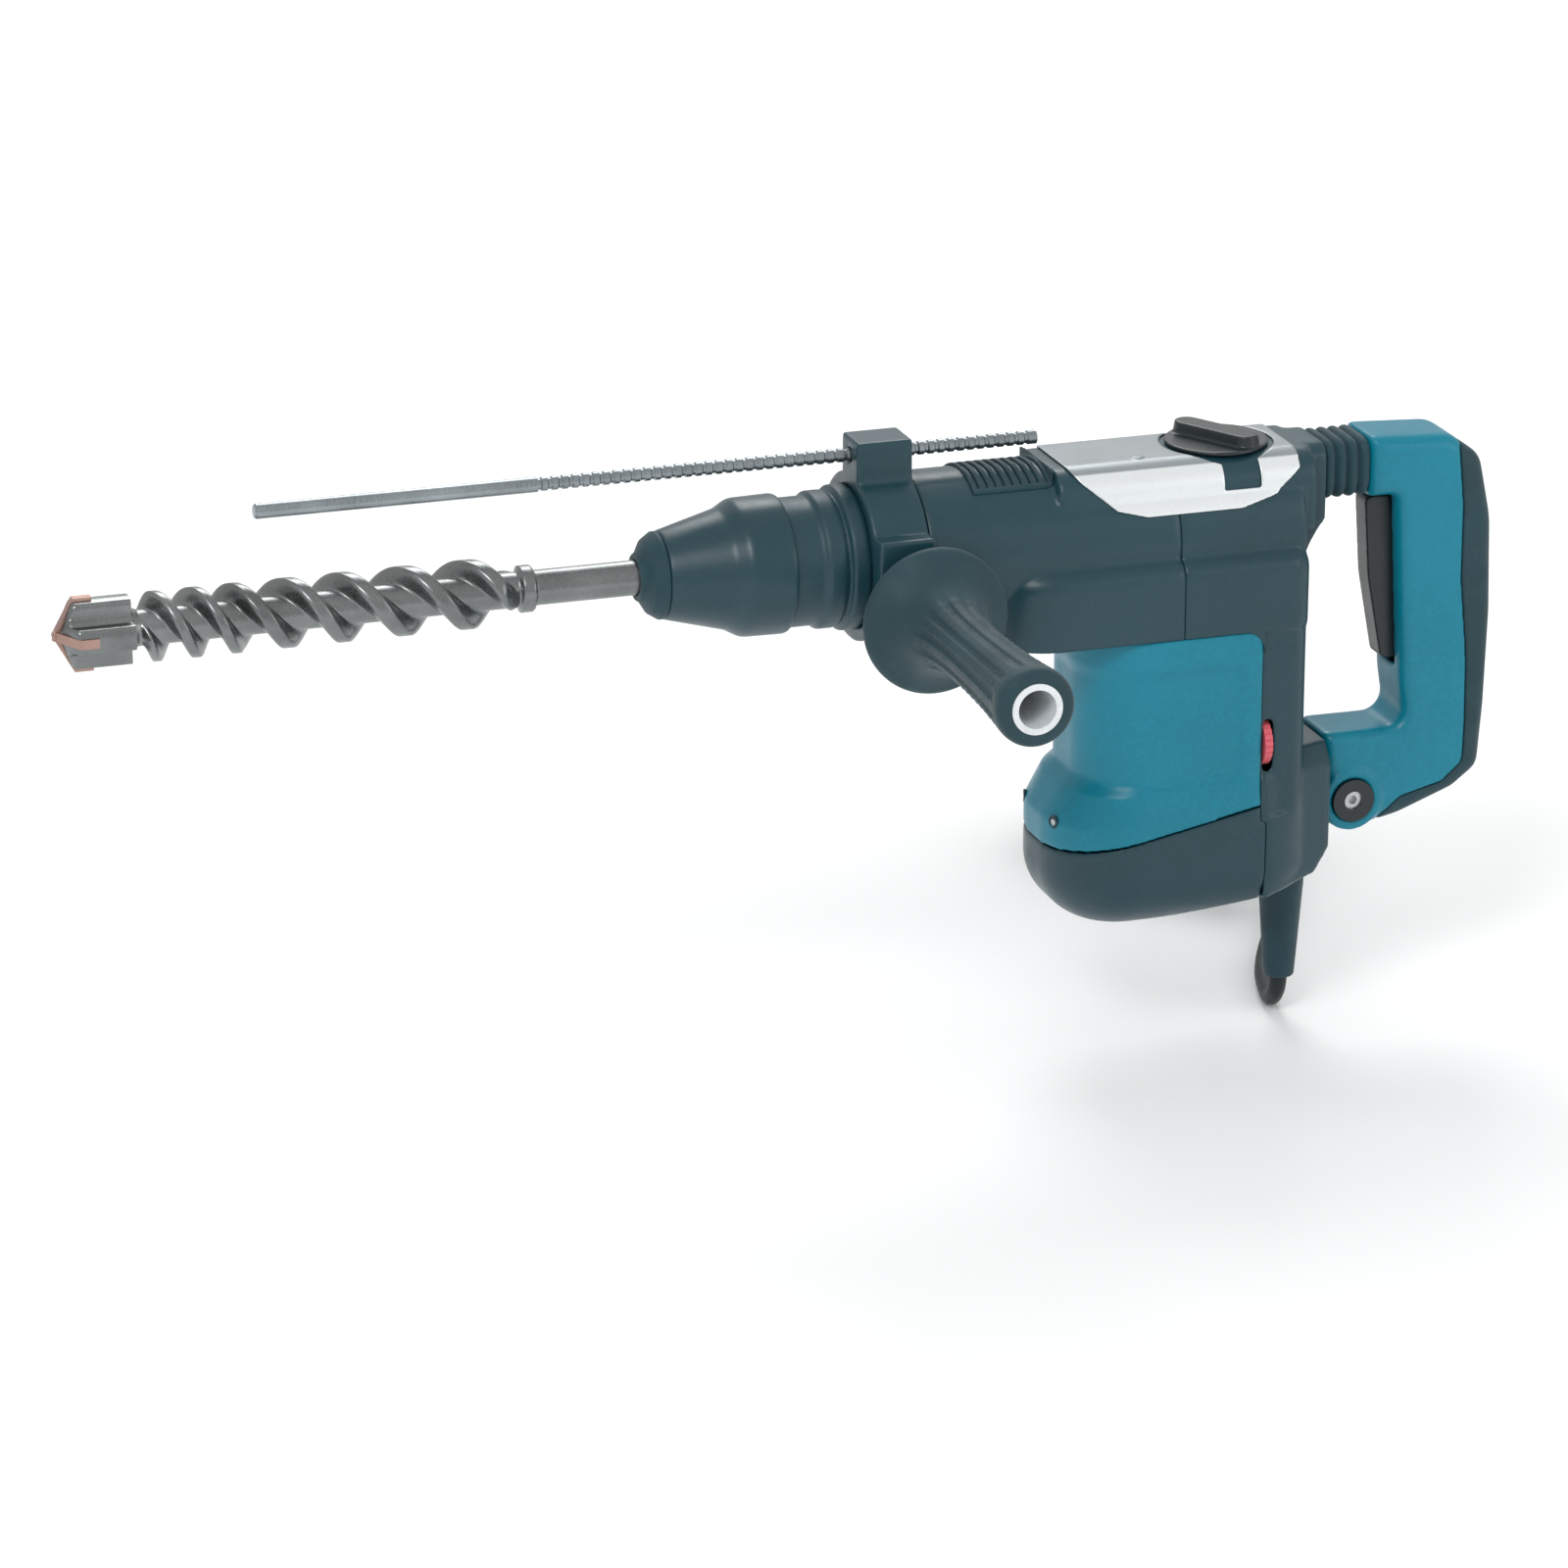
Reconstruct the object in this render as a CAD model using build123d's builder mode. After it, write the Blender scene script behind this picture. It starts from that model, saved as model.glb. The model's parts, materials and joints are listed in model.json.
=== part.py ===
"""Rotary hammer with a D handle, a side handle and a depth rod, each piece as its own solid.

The tool axis is X: the bit points to -X and the rear handle to +X, with +Z up. The origin lies
on the tool axis, on the round collar just in front of the side handle's band. Sizes are in mm.
"""
import os
from math import cos, pi, radians, sin, tan

from build123d import *

os.makedirs("parts", exist_ok=True)

# ---- Driving dimensions ------------------------------------------------------------------
SHANK_R = 9.0  # SDS-max shank, 18 mm
RUN = 0.06  # radial clearance of a running fit
WALL = 3.0  # plastic housings

BIT_TIP = -411.0
BIT_HEAD_REAR = -372.0
BIT_HEAD_R = 19.0
FLUTE_END = -170.3
FLUTE_CORE_R = 9.2
BIT_REAR = -28.0

COLLAR_R = 37.5
BAND_SEAT_R = 36.0
BAND_FRONT = 3.0
BAND_REAR = 33.0

BARREL_R = 41.0
HOUSING_FRONT = 34.0
SEAM_X = 170.0
HOUSING_REAR = 258.0
TOP_Z = 41.5
BULGE_TOP = -6.0
BULGE_FLOOR = -48.0
BULGE_HALF = 48.0

MOTOR_X = 165.0
CRANK_X = 197.5
COUNTER_X = 132.5
CRANK_THROW = 11.0
GEAR_MODULE = 1.25
GEAR_LOW, GEAR_HIGH = -44.0, -37.0

CYLINDER_BORE = 21.0
CYLINDER_R = 25.0
PISTON_R = CYLINDER_BORE - RUN

ROD_Z = 54.0
ROD_R = 3.6
GRIP_X, GRIP_Z = 28.0, -18.0

KNOB_X = 204.0
PIVOT_X, PIVOT_Z = 277.7, -156.0
DIAL_X, DIAL_Y, DIAL_Z, DIAL_R = 218.0, -35.5, -111.0, 13.0

PIVOT_BOSS_R, PIVOT_BOSS_HALF, PIVOT_R = 15.0, 14.3, 5.0

CORD_R = 4.75
GUARD_X, GUARD_TOP, GUARD_END = 247.0, -172.0, -258.0
GUARD_NECK_R = 9.0
FLOOR_Z = -282.0


def save(block, label):
    """Names a finished piece and writes its STEP file."""
    block.part.label = label
    export_step(block.part, f"parts/{label}.step")


def turned(*outline):
    """A solid turned about the tool axis from a closed outline of (x, radius) points."""
    with BuildPart() as body:
        with BuildSketch(Plane.XY):
            with BuildLine():
                Polyline(*outline, close=True)
            make_face()
        revolve(axis=Axis.X)
    return body


def ring_x(x0, x1, r_in, r_out):
    """A plain ring about the tool axis."""
    return turned((x0, r_in), (x1, r_in), (x1, r_out), (x0, r_out))


def box(x0, x1, y0, y1, z0, z1, mode=Mode.ADD):
    """A box between two corners, inside the part being built."""
    with Locations(((x0 + x1) / 2, (y0 + y1) / 2, (z0 + z1) / 2)):
        Box(abs(x1 - x0), abs(y1 - y0), abs(z1 - z0), mode=mode)


def tooth_outline(root, tip, teeth, share, start):
    """Points of a gear's outline with tapered teeth: share is a tooth's part of its pitch."""
    points = []
    pitch = 2 * pi / teeth
    for tooth in range(teeth):
        middle = start + tooth * pitch
        for radius, side in ((root, -0.62), (tip, -0.36), (tip, 0.36), (root, 0.62)):
            angle = middle + side * share * pitch
            points.append((radius * cos(angle), radius * sin(angle)))
    return points


def spur_gear(x, z0, z1, teeth, bore, start, module=GEAR_MODULE):
    """A spur gear with slim tapered teeth about a vertical axis."""
    pitch_r = module * teeth / 2
    outline = tooth_outline(pitch_r - 1.1 * module, pitch_r + 0.8 * module, teeth, 0.42, start)
    with BuildPart() as gear:
        with BuildSketch(Plane.XY.offset(z0)):
            with BuildLine():
                Polyline(*[(x + px, py) for px, py in outline], close=True)
            make_face()
            if bore:
                with Locations((x, 0)):
                    Circle(bore, mode=Mode.SUBTRACT)
        extrude(amount=z1 - z0)
    return gear


# ---- Drill bit ---------------------------------------------------------------------------
# Two-start flute in three stretches, with a lead that grows towards the shank: (end x, lead).
FLUTE_START = -368.0
INSERT_HALF = 2.4
FLUTE_STRETCHES = ((-314.7, 40.8), (-258.0, 56.6), (FLUTE_END - 8, 65.0))


def flight(x0, x1, lead, angle):
    """One flight of the flute from x0 to x1, starting at an angle about the tool axis."""
    helix = Helix(pitch=lead, height=x1 - x0, radius=FLUTE_CORE_R, center=(x0, 0, 0),
                  direction=(1, 0, 0), mode=Mode.PRIVATE)
    with BuildLine() as path:
        add(helix.rotate(Axis.X, angle))
    radial = (path.line @ 0) - Vector(x0, 0, 0)
    start = Plane(origin=path.line @ 0, x_dir=radial, z_dir=path.line % 0)
    with BuildSketch(start) as profile:
        with BuildLine():
            Polyline((-1.5, -5), (7.9, -2.2), (7.9, 2.2), (-1.5, 5), close=True)
        make_face()
    sweep(profile.sketch, path=path.line, is_frenet=True)


with BuildPart() as drill_bit:
    with BuildSketch(Plane.XY):
        with BuildLine():
            Polyline(
                (-406, 0), (-403, 14), (-399, 18.2), (BIT_HEAD_REAR, 16.5),
                (BIT_HEAD_REAR + 0.5, 12.5), (-366, FLUTE_CORE_R),
                (-177, FLUTE_CORE_R), (-172, 12), (-166, 12), (-163, SHANK_R),
                (BIT_REAR - 1.5, SHANK_R), (BIT_REAR, SHANK_R - 1.5), (BIT_REAR, 0), close=True,
            )
        make_face()
    revolve(axis=Axis.X)
    for turn in (45, 135, 225, 315):
        with Locations(Location((-391, 0, 0), (turn, 0, 0))):
            with Locations((0, 20.5, 0)):
                Cylinder(8, 40, rotation=(0, 90, 0), mode=Mode.SUBTRACT)
    box(-415, -391, -INSERT_HALF, INSERT_HALF, -30, 30, Mode.SUBTRACT)
    box(-415, -391, -30, 30, -INSERT_HALF, INSERT_HALF, Mode.SUBTRACT)
    for first in (0, 180):
        x_from, turn = FLUTE_START, first
        for x_to, lead in FLUTE_STRETCHES:
            flight(x_from, x_to, lead, turn)
            turn += 360 * (x_to - x_from) / lead
            x_from = x_to
    for turn in (90, 210, 330):
        with Locations(Location((-66, 0, 0), (turn, 0, 0))):
            with Locations((0, SHANK_R, 0)):
                Box(78, 4.2, 3.6, mode=Mode.SUBTRACT)
    for side in (-1, 1):
        with Locations((-49.5, side * 10.2, 0)):
            Cylinder(3.1, 25, rotation=(0, 90, 0), mode=Mode.SUBTRACT)
save(drill_bit, "drill_bit")

with BuildPart() as carbide_cross:
    for turn in (0, 90):
        with BuildSketch(Plane.XY.rotated((turn, 0, 0))):
            with BuildLine():
                Polyline((-391, -BIT_HEAD_R), (-400.5, -BIT_HEAD_R), (BIT_TIP, 0),
                         (-400.5, BIT_HEAD_R), (-391, BIT_HEAD_R), close=True)
            make_face()
        extrude(amount=INSERT_HALF, both=True)
save(carbide_cross, "carbide_cross")

# ---- Tool holder and release sleeve ------------------------------------------------------
HOLDER_BORE = SHANK_R + RUN
ROLLER_AT = 10.2
ROLLER_R = 3.0
LOCK_BORE = ROLLER_AT + ROLLER_R + 0.1
with BuildPart() as tool_holder:
    with BuildSketch(Plane.XY):
        with BuildLine():
            Polyline(
                (-104, HOLDER_BORE), (-30, HOLDER_BORE), (-30, 11.4), (-14, 11.4), (-14, 25),
                (-19.5, 25), (-19.5, 17), (-36, 17), (-36, 12.9), (-63, 12.9), (-63, 15),
                (-104, 15), close=True,
            )
        make_face()
    revolve(axis=Axis.X)
    for turn in (90, 210, 330):
        with Locations(Location((-82, 0, 0), (turn, 0, 0))):
            with Locations((0, 8.6, 0)):
                Box(32, 2.6, 3.3)
    for side in (-1, 1):
        with Locations((-55, side * 11.5, 0)):
            Box(10.5, 8, 2 * ROLLER_R + 0.3, mode=Mode.SUBTRACT)
save(tool_holder, "tool_holder")

for side, roller_name in ((-1, "lock_roller_left"), (1, "lock_roller_right")):
    with BuildPart() as lock_roller:
        with Locations((-55, side * ROLLER_AT, 0)):
            Cylinder(ROLLER_R, 10, rotation=(0, 90, 0))
        chamfer(lock_roller.edges().filter_by(GeomType.CIRCLE), 0.6)
    save(lock_roller, roller_name)

save(turned((-111, 9.4), (-104, 9.4), (-104, 15), (-98.8, 15), (-98.8, 22.5),
            (-100.6, 22.5), (-105.5, 19.3), (-109, 13.5), (-111, 12)), "dust_cap")

# The release sleeve: its web's tapered bore holds the rollers in.
WEB_FRONT, WEB_REAR = -61.5, -49.5
with BuildPart() as release_sleeve:
    with BuildSketch(Plane.XY):
        with BuildLine():
            Polyline(
                (-98.4, 22.6), (-66, 31.2), (-59.4, 35), (-57, 35.6), (-36.5, 36), (-34.5, 35.2),
                (-34.5, 33.9), (WEB_REAR, 33.9), (WEB_REAR, LOCK_BORE), (-50, LOCK_BORE),
                (WEB_FRONT, 16), (WEB_FRONT, 26.5), (-66, 26.5), (-95, 19.6), (-98.4, 19.6),
                close=True,
            )
        make_face()
    revolve(axis=Axis.X)
save(release_sleeve, "release_sleeve")

with BuildPart() as release_spring:
    with BuildLine() as coil:
        Helix(pitch=3.4, height=8.5, radius=15.6, center=(-47.5, 0, 0), direction=(1, 0, 0))
    with BuildSketch(Plane(origin=coil.line @ 0, z_dir=coil.line % 0)):
        Circle(0.9)
    sweep(path=coil.line, is_frenet=True)
save(release_spring, "release_spring")

# ---- Barrel nose, bearing and rotating cylinder ------------------------------------------
with BuildPart() as barrel_nose:
    with BuildSketch(Plane.XY):
        with BuildLine():
            Polyline(
                (-37.5, 33.3), (-20, 33.3), (-18, 35.5), (-9.5, 35.5), (-8, 34), (-6.5, 34),
                (-6, COLLAR_R), (2.5, COLLAR_R), (2.5, BAND_SEAT_R), (HOUSING_FRONT, BAND_SEAT_R),
                (HOUSING_FRONT, 37.9), (64, 37.9), (64, 34), (80, 34), (80, 27), (-19.5, 27),
                (-19.5, 26), (-34.5, 26), (-37.5, 22), close=True,
            )
        make_face()
    revolve(axis=Axis.X)
save(barrel_nose, "barrel_nose")


def ball_bearing(r_in, r_out, length, balls):
    """Two races and a ring of balls about Z, between z=0 and z=length, as separate solids."""
    middle = (r_in + r_out) / 2
    land = (r_out - r_in) * 0.22
    ball_r = land * 1.12
    with BuildPart() as bearing:
        for inner, outer in ((r_in, middle - land), (middle + land, r_out)):
            with BuildSketch():
                Circle(outer)
                Circle(inner, mode=Mode.SUBTRACT)
            extrude(amount=length)
        with Locations((0, 0, length / 2)):
            Torus(middle, ball_r + 0.1, mode=Mode.SUBTRACT)
            with PolarLocations(middle, balls):
                Sphere(ball_r)
    return bearing


def bearing_at(plane, r_in, r_out, length, balls):
    """Adds a ball bearing that starts on a plane and runs along its normal."""
    add(plane * ball_bearing(r_in, r_out, length, balls).part)


with BuildPart() as front_bearing:
    bearing_at(Plane(origin=(-34.4, 0, 0), z_dir=(1, 0, 0)), 17, 26, 14.8, 14)
save(front_bearing, "front_bearing")
save(turned((-14, 11.1), (4, 11.1), (4, CYLINDER_BORE), (150, CYLINDER_BORE),
            (150, CYLINDER_R), (-14, CYLINDER_R)), "cylinder")

save(turned((-23.5, 0), (-23.5, 9), (-21.5, 11.04), (11.5, 11.04), (13.5, 9), (13.5, 0)),
     "impact_bolt")
save(turned((14, 0), (14, 7), (17, 9), (24, 9), (24, PISTON_R), (44, PISTON_R), (44, 0)),
     "striker")

# The piston is a cup that the connecting rod swings in.
save(turned((110, 0), (110, PISTON_R), (156, PISTON_R), (156, 19.2), (119, 19.2), (116, 16),
            (116, 0)), "piston")

# ---- Crank drive -------------------------------------------------------------------------
PISTON_EYE_X = 146.0
PIN_X = CRANK_X + CRANK_THROW
with BuildPart() as connecting_rod:
    with BuildSketch(Plane.XY.offset(-4.5)):
        with BuildLine():
            Polyline((PISTON_EYE_X, -4.5), (PIN_X, -7), (PIN_X, 7), (PISTON_EYE_X, 4.5),
                     close=True)
        make_face()
        with Locations((PISTON_EYE_X, 0)):
            Circle(6.5)
        with Locations((PIN_X, 0)):
            Circle(11.5)
    extrude(amount=9)
    with Locations((PISTON_EYE_X, 0, 0)):
        Cylinder(3.5, 14)
    with Locations((PIN_X, 0, 0)):
        Cylinder(6 + RUN, 20, mode=Mode.SUBTRACT)
save(connecting_rod, "connecting_rod")

with BuildPart() as crankshaft:
    with Locations((CRANK_X, 0, -35)):
        Cylinder(8, 20)
    with BuildSketch(Plane.XY.offset(-25)):
        with Locations((CRANK_X, 0)):
            Circle(19)
        with Locations((CRANK_X - 14, 0)):
            Circle(13, mode=Mode.SUBTRACT)
        with Locations((CRANK_X, 0)):
            Circle(11)
    extrude(amount=11)
    with Locations((PIN_X, 0, -4)):
        Cylinder(6, 20)
save(crankshaft, "crankshaft")

PINION_TEETH, CRANK_TEETH, COUNTER_TEETH = 8, 44, 44
save(spur_gear(CRANK_X, GEAR_LOW, GEAR_HIGH, CRANK_TEETH, 8, pi), "crank_gear")
save(spur_gear(COUNTER_X, GEAR_LOW, GEAR_HIGH, COUNTER_TEETH, 5, 0), "counter_gear")

with BuildPart() as armature_shaft:
    with Locations((MOTOR_X, 0, -119)):
        Cylinder(4, 138)
    add(spur_gear(MOTOR_X, -50, -34, PINION_TEETH, 0, pi / PINION_TEETH).part)
save(armature_shaft, "armature_shaft")

# Bevel stage: a face gear on the cylinder, with the counter shaft's pinion under it.
FACE_TEETH, BEVEL_TEETH = 45, 12
FACE_MEAN_R = 32.5
BEVEL_MODULE = 2 * FACE_MEAN_R / FACE_TEETH
BEVEL_R = BEVEL_MODULE * BEVEL_TEETH / 2
PITCH_PLANE_X = COUNTER_X - BEVEL_R
with BuildPart() as ring_gear:
    add(ring_x(113, PITCH_PLANE_X - 1.5, CYLINDER_R, 36).part)
    for tooth in range(FACE_TEETH):
        angle = -90 + (tooth + 0.5) * 360 / FACE_TEETH
        with Locations(Location((PITCH_PLANE_X - 0.4, 0, 0), (angle, 0, 0))):
            with Locations((0, 32.4, 0)):
                Box(2.2, 7, 1.15)
save(ring_gear, "ring_gear")

with BuildPart() as counter_shaft:
    with Locations((COUNTER_X, 0, -46)):
        Cylinder(5, 34.5)
    add(spur_gear(COUNTER_X, -35.8, -29, BEVEL_TEETH, 0, pi, BEVEL_MODULE).part)
save(counter_shaft, "counter_shaft")

# Clutch ring that the mode knob slides along the cylinder.
save(ring_x(88, 101, CYLINDER_R + RUN, 31), "clutch_ring")

# ---- Motor -------------------------------------------------------------------------------
STATOR_R = 40.5
with BuildPart() as armature_core:
    with BuildSketch(Plane.XY.offset(-150)):
        with Locations((MOTOR_X, 0)):
            Circle(22.3)
            Circle(4, mode=Mode.SUBTRACT)
            with PolarLocations(21, 14):
                Rectangle(4, 1.6, mode=Mode.SUBTRACT)
    extrude(amount=52)
save(armature_core, "armature_core")

with BuildPart() as commutator:
    with BuildSketch(Plane.XY.offset(-176)):
        with Locations((MOTOR_X, 0)):
            Circle(14)
            Circle(4, mode=Mode.SUBTRACT)
            with PolarLocations(13.4, 24):
                Rectangle(1.6, 0.5, mode=Mode.SUBTRACT)
    extrude(amount=20)
save(commutator, "commutator")

with BuildPart() as cooling_fan:
    with BuildSketch(Plane.XY.offset(-90)):
        with Locations((MOTOR_X, 0)):
            Circle(33)
            Circle(4, mode=Mode.SUBTRACT)
    extrude(amount=2)
    with BuildSketch(Plane.XY.offset(-88)):
        with Locations((MOTOR_X, 0)):
            Circle(8)
            Circle(4, mode=Mode.SUBTRACT)
            with PolarLocations(21, 12):
                Rectangle(22, 1.5, rotation=20)
    extrude(amount=10)
save(cooling_fan, "cooling_fan")

with BuildPart() as stator_core:
    with BuildSketch(Plane.XY.offset(-150)):
        with Locations((MOTOR_X, 0)):
            Circle(STATOR_R)
            Circle(31.2, mode=Mode.SUBTRACT)
            Rectangle(26, 2 * 33)
            Circle(23, mode=Mode.SUBTRACT)
    extrude(amount=52)
save(stator_core, "stator_core")

with BuildPart() as field_coils:
    for z0, height in ((-156, 5.7), (-97.7, 5.7)):
        with BuildSketch(Plane.XY.offset(z0)):
            with Locations((MOTOR_X, 0)):
                Circle(30.8)
                Circle(23.4, mode=Mode.SUBTRACT)
        extrude(amount=height)
    with BuildSketch(Plane.XY.offset(-150.3)):
        with Locations((MOTOR_X, 0)):
            Circle(30.8)
            Circle(23.4, mode=Mode.SUBTRACT)
            Rectangle(27, 80, mode=Mode.SUBTRACT)
    extrude(amount=52.6)
save(field_coils, "field_coils")

with BuildPart() as shaft_bearings:
    bearing_at(Plane((CRANK_X, 0, -36)), 8, 17.5, 10, 9)
    bearing_at(Plane((COUNTER_X, 0, -62)), 5, 8.8, 8, 9)
    bearing_at(Plane((MOTOR_X, 0, -64)), 4, 11, 7, 7)
    bearing_at(Plane((MOTOR_X, 0, -188)), 4, 9.5, 6, 7)
save(shaft_bearings, "shaft_bearings")

BRUSH_Z = -166.0
with BuildPart() as brush_holders:
    for side in (-1, 1):
        box(MOTOR_X - 6, MOTOR_X + 6, side * 16, side * 38, BRUSH_Z - 5.5, BRUSH_Z + 5.5)
        box(MOTOR_X - 4, MOTOR_X + 4, side * 14, side * 36.5, BRUSH_Z - 3.5, BRUSH_Z + 3.5,
            Mode.SUBTRACT)
save(brush_holders, "brush_holders")
with BuildPart() as carbon_brushes:
    for side in (-1, 1):
        box(MOTOR_X - 3.9, MOTOR_X + 3.9, side * 14.15, side * 28, BRUSH_Z - 3.4, BRUSH_Z + 3.4)
save(carbon_brushes, "carbon_brushes")

# ---- Housings ----------------------------------------------------------------------------
MOTOR_FRONT, MOTOR_HALF = 120.0, 47.0
FLARE_TOP, FLARE_LOW = -124.0, -149.0
BOWL_FRONT, BOWL_REAR, BOWL_HALF = 106.0, 253.0, 49.5
BOWL_FLOOR = -208.0
FLOOR_RISE_X, FLOOR_RISE = 152.0, 0.17  # the bowl's floor slopes up behind this
COLUMN_FRONT, COLUMN_REAR = 214.0, 242.0
BULGE_FRONT = 66.0
BLOCK_FRONT, BLOCK_REAR = 217.0, 260.0
SPLIT_SLOPE = 0.196
SPLIT_Z = -143.4  # height of the sloping joint at the front of the column


def plan(z, x0, x1, half, r_front, r_rear):
    """A horizontal section with its own corner radii in front and at the back."""
    with BuildSketch(Plane.XY.offset(z)) as outline:
        with Locations(((x0 + x1) / 2, 0)):
            Rectangle(x1 - x0, 2 * half)
        fillet(outline.vertices().group_by(Axis.X)[0], r_front)
        fillet(outline.vertices().group_by(Axis.X)[-1], r_rear)
    return outline.sketch


def gear_bulge(inset):
    """The wide part of the housing around the gears, with its top edge rounded."""
    with BuildPart() as bulge:
        extrude(plan(BULGE_FLOOR + inset, BULGE_FRONT + inset, COLUMN_REAR - inset,
                     BULGE_HALF - inset, 38 - inset, 12 - inset / 2),
                amount=BULGE_TOP - BULGE_FLOOR - 2 * inset)
        fillet(bulge.faces().sort_by(Axis.Z)[-1].edges(), 10)
    return bulge.part


def upper_body(inset):
    """Barrel, flat top and gear bulge as one solid, drawn in on all sides by inset."""
    with BuildPart() as body:
        add(gear_bulge(inset))
        with BuildSketch(Plane.YZ.offset(HOUSING_FRONT)):
            Circle(BARREL_R - inset)
        extrude(amount=206 - inset)
        with BuildSketch(Plane.YZ.offset(106 + inset)) as block:
            with Locations((0, TOP_Z / 2 - inset)):
                Rectangle(2 * (33 - inset), TOP_Z)
            fillet(block.vertices().group_by(Axis.Y)[-1], 15 - inset)
        extrude(amount=142 - 2 * inset)
        with BuildSketch(Plane.YZ.offset(230)) as neck:
            with Locations((0, 24.5)):
                Rectangle(2 * (21 - inset), 34 - 2 * inset)
            fillet(neck.vertices(), 9 - inset)
        extrude(amount=HOUSING_REAR - 230)
        with BuildSketch(Plane.XZ) as web:
            with BuildLine():
                Polyline((COLUMN_REAR - 8, -36 + inset), (COLUMN_REAR - inset, -36 + inset))
                ThreePointArc((COLUMN_REAR - inset, -36 + inset), (249 - inset, -14 + inset),
                              (HOUSING_REAR, 1 + inset))
                Polyline((HOUSING_REAR, 1 + inset), (HOUSING_REAR, 14), (COLUMN_REAR - 8, 14),
                         (COLUMN_REAR - 8, -36 + inset))
            make_face()
        extrude(amount=21 - inset, both=True)
    return body.part


def motor_body(inset):
    """Motor housing with its flare and the bowl under it, drawn in by inset."""
    upright = plan(FLARE_TOP, MOTOR_FRONT + inset, 231 - inset, MOTOR_HALF - inset, 38 - inset, 12)
    wide = plan(FLARE_LOW, BOWL_FRONT + inset, BOWL_REAR - inset, BOWL_HALF - inset,
                42 - inset, 36 - inset)
    with BuildPart() as body:
        extrude(wide, amount=BOWL_FLOOR - FLARE_LOW + inset)
        fillet(body.faces().sort_by(Axis.Z)[0].edges(), 31)
        loft([wide, upright])
        extrude(upright, amount=BULGE_FLOOR - FLARE_TOP)
        with BuildSketch(Plane.XZ):
            with BuildLine():
                Polyline((FLOOR_RISE_X, BOWL_FLOOR + inset),
                         (FLOOR_RISE_X + 120, BOWL_FLOOR + inset + 120 * FLOOR_RISE),
                         (FLOOR_RISE_X + 120, -260), (FLOOR_RISE_X, -260), close=True)
            make_face()
        extrude(amount=80, both=True, mode=Mode.SUBTRACT)
    return body.part


def rear_block(inset):
    """Column behind the motor and the block that carries the lower handle pivot."""
    with BuildPart() as body:
        extrude(plan(-150, COLUMN_FRONT - 20 + inset, COLUMN_REAR - inset, 46 - inset, 4, 12),
                amount=150 + BULGE_FLOOR)
    with BuildPart() as block:
        with BuildSketch(Plane.XY.offset(-200)):
            with BuildLine():
                Polyline((205 + inset, inset - 49), (BLOCK_FRONT, inset - 49),
                         (BLOCK_REAR - inset, inset - 33), (BLOCK_REAR - inset, 33 - inset),
                         (BLOCK_FRONT, 49 - inset), (205 + inset, 49 - inset), close=True)
            make_face()
        extrude(amount=81 - inset)
        chamfer(block.faces().sort_by(Axis.Z)[-1].edges().filter_by(Axis.Y, reverse=True), 11, 8)
        with BuildSketch(Plane.XZ):
            with BuildLine():
                Polyline((200, -119 - inset), (BLOCK_REAR, -119 - inset), (BLOCK_REAR, -176 + inset),
                         (251, -189 + inset), (234, -192 + inset), (200, -200 + inset),
                         close=True)
            make_face()
        extrude(amount=60, both=True, mode=Mode.INTERSECT)
    return body.part + block.part


def below_split():
    """Everything under the sloping joint between the motor housing and its cover."""
    low = SPLIT_Z - SPLIT_SLOPE * (COLUMN_FRONT - 60)
    high = SPLIT_Z + SPLIT_SLOPE * (280 - COLUMN_FRONT)
    with BuildPart() as region:
        with BuildSketch(Plane.XZ):
            with BuildLine():
                Polyline((60, low), (280, high), (280, -260), (60, -260), close=True)
            make_face()
        extrude(amount=80, both=True)
    return region.part


motor_outer, motor_inner = motor_body(0), motor_body(WALL)
under = below_split()

with BuildPart() as motor_housing:
    add(motor_outer)
    add(under, mode=Mode.SUBTRACT)
    box(COLUMN_FRONT, 300, -80, 80, -260, 0, Mode.SUBTRACT)
    for side in (-1, 1):
        box(100, 203, side * (MOTOR_HALF - 1.6), side * 60, -128, -68, Mode.SUBTRACT)
    add(motor_inner, mode=Mode.SUBTRACT)
save(motor_housing, "motor_housing")

COVER_SCREWS = [(x, y, z) for x, z in ((137, -198), (200, -191)) for y in (-16, 16)]
with BuildPart() as motor_cover:
    add(motor_outer)
    add(under, mode=Mode.INTERSECT)
    box(COLUMN_FRONT, 300, -80, 80, -152, 0, Mode.SUBTRACT)
    box(BLOCK_FRONT, 300, -80, 80, -260, 0, Mode.SUBTRACT)
    add(motor_inner, mode=Mode.SUBTRACT)
    with Locations((MOTOR_X, 0, -190)):
        Cylinder(12.5, 23)
    with Locations(*COVER_SCREWS):
        Cylinder(5.5, 16)
    with Locations((MOTOR_X, 0, -183)):
        Cylinder(9.5, 10, mode=Mode.SUBTRACT)
    with Locations(*COVER_SCREWS):
        Cylinder(2.5, 26, mode=Mode.SUBTRACT)
save(motor_cover, "motor_cover")

with BuildPart() as cover_screws:
    with Locations(*COVER_SCREWS):
        Cylinder(2.5, 16)
save(cover_screws, "cover_screws")

# Windows between the gear space above and the motor space below.
upper_outer, upper_inner = upper_body(0), upper_body(WALL)
with BuildPart() as front_housing:
    add(upper_outer)
    box(SEAM_X, 300, -80, 80, -80, 80, Mode.SUBTRACT)
    add(upper_inner, mode=Mode.SUBTRACT)
    box(MOTOR_FRONT + WALL, SEAM_X, -40, 40, -60, -40, Mode.SUBTRACT)
save(front_housing, "front_housing")

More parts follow.
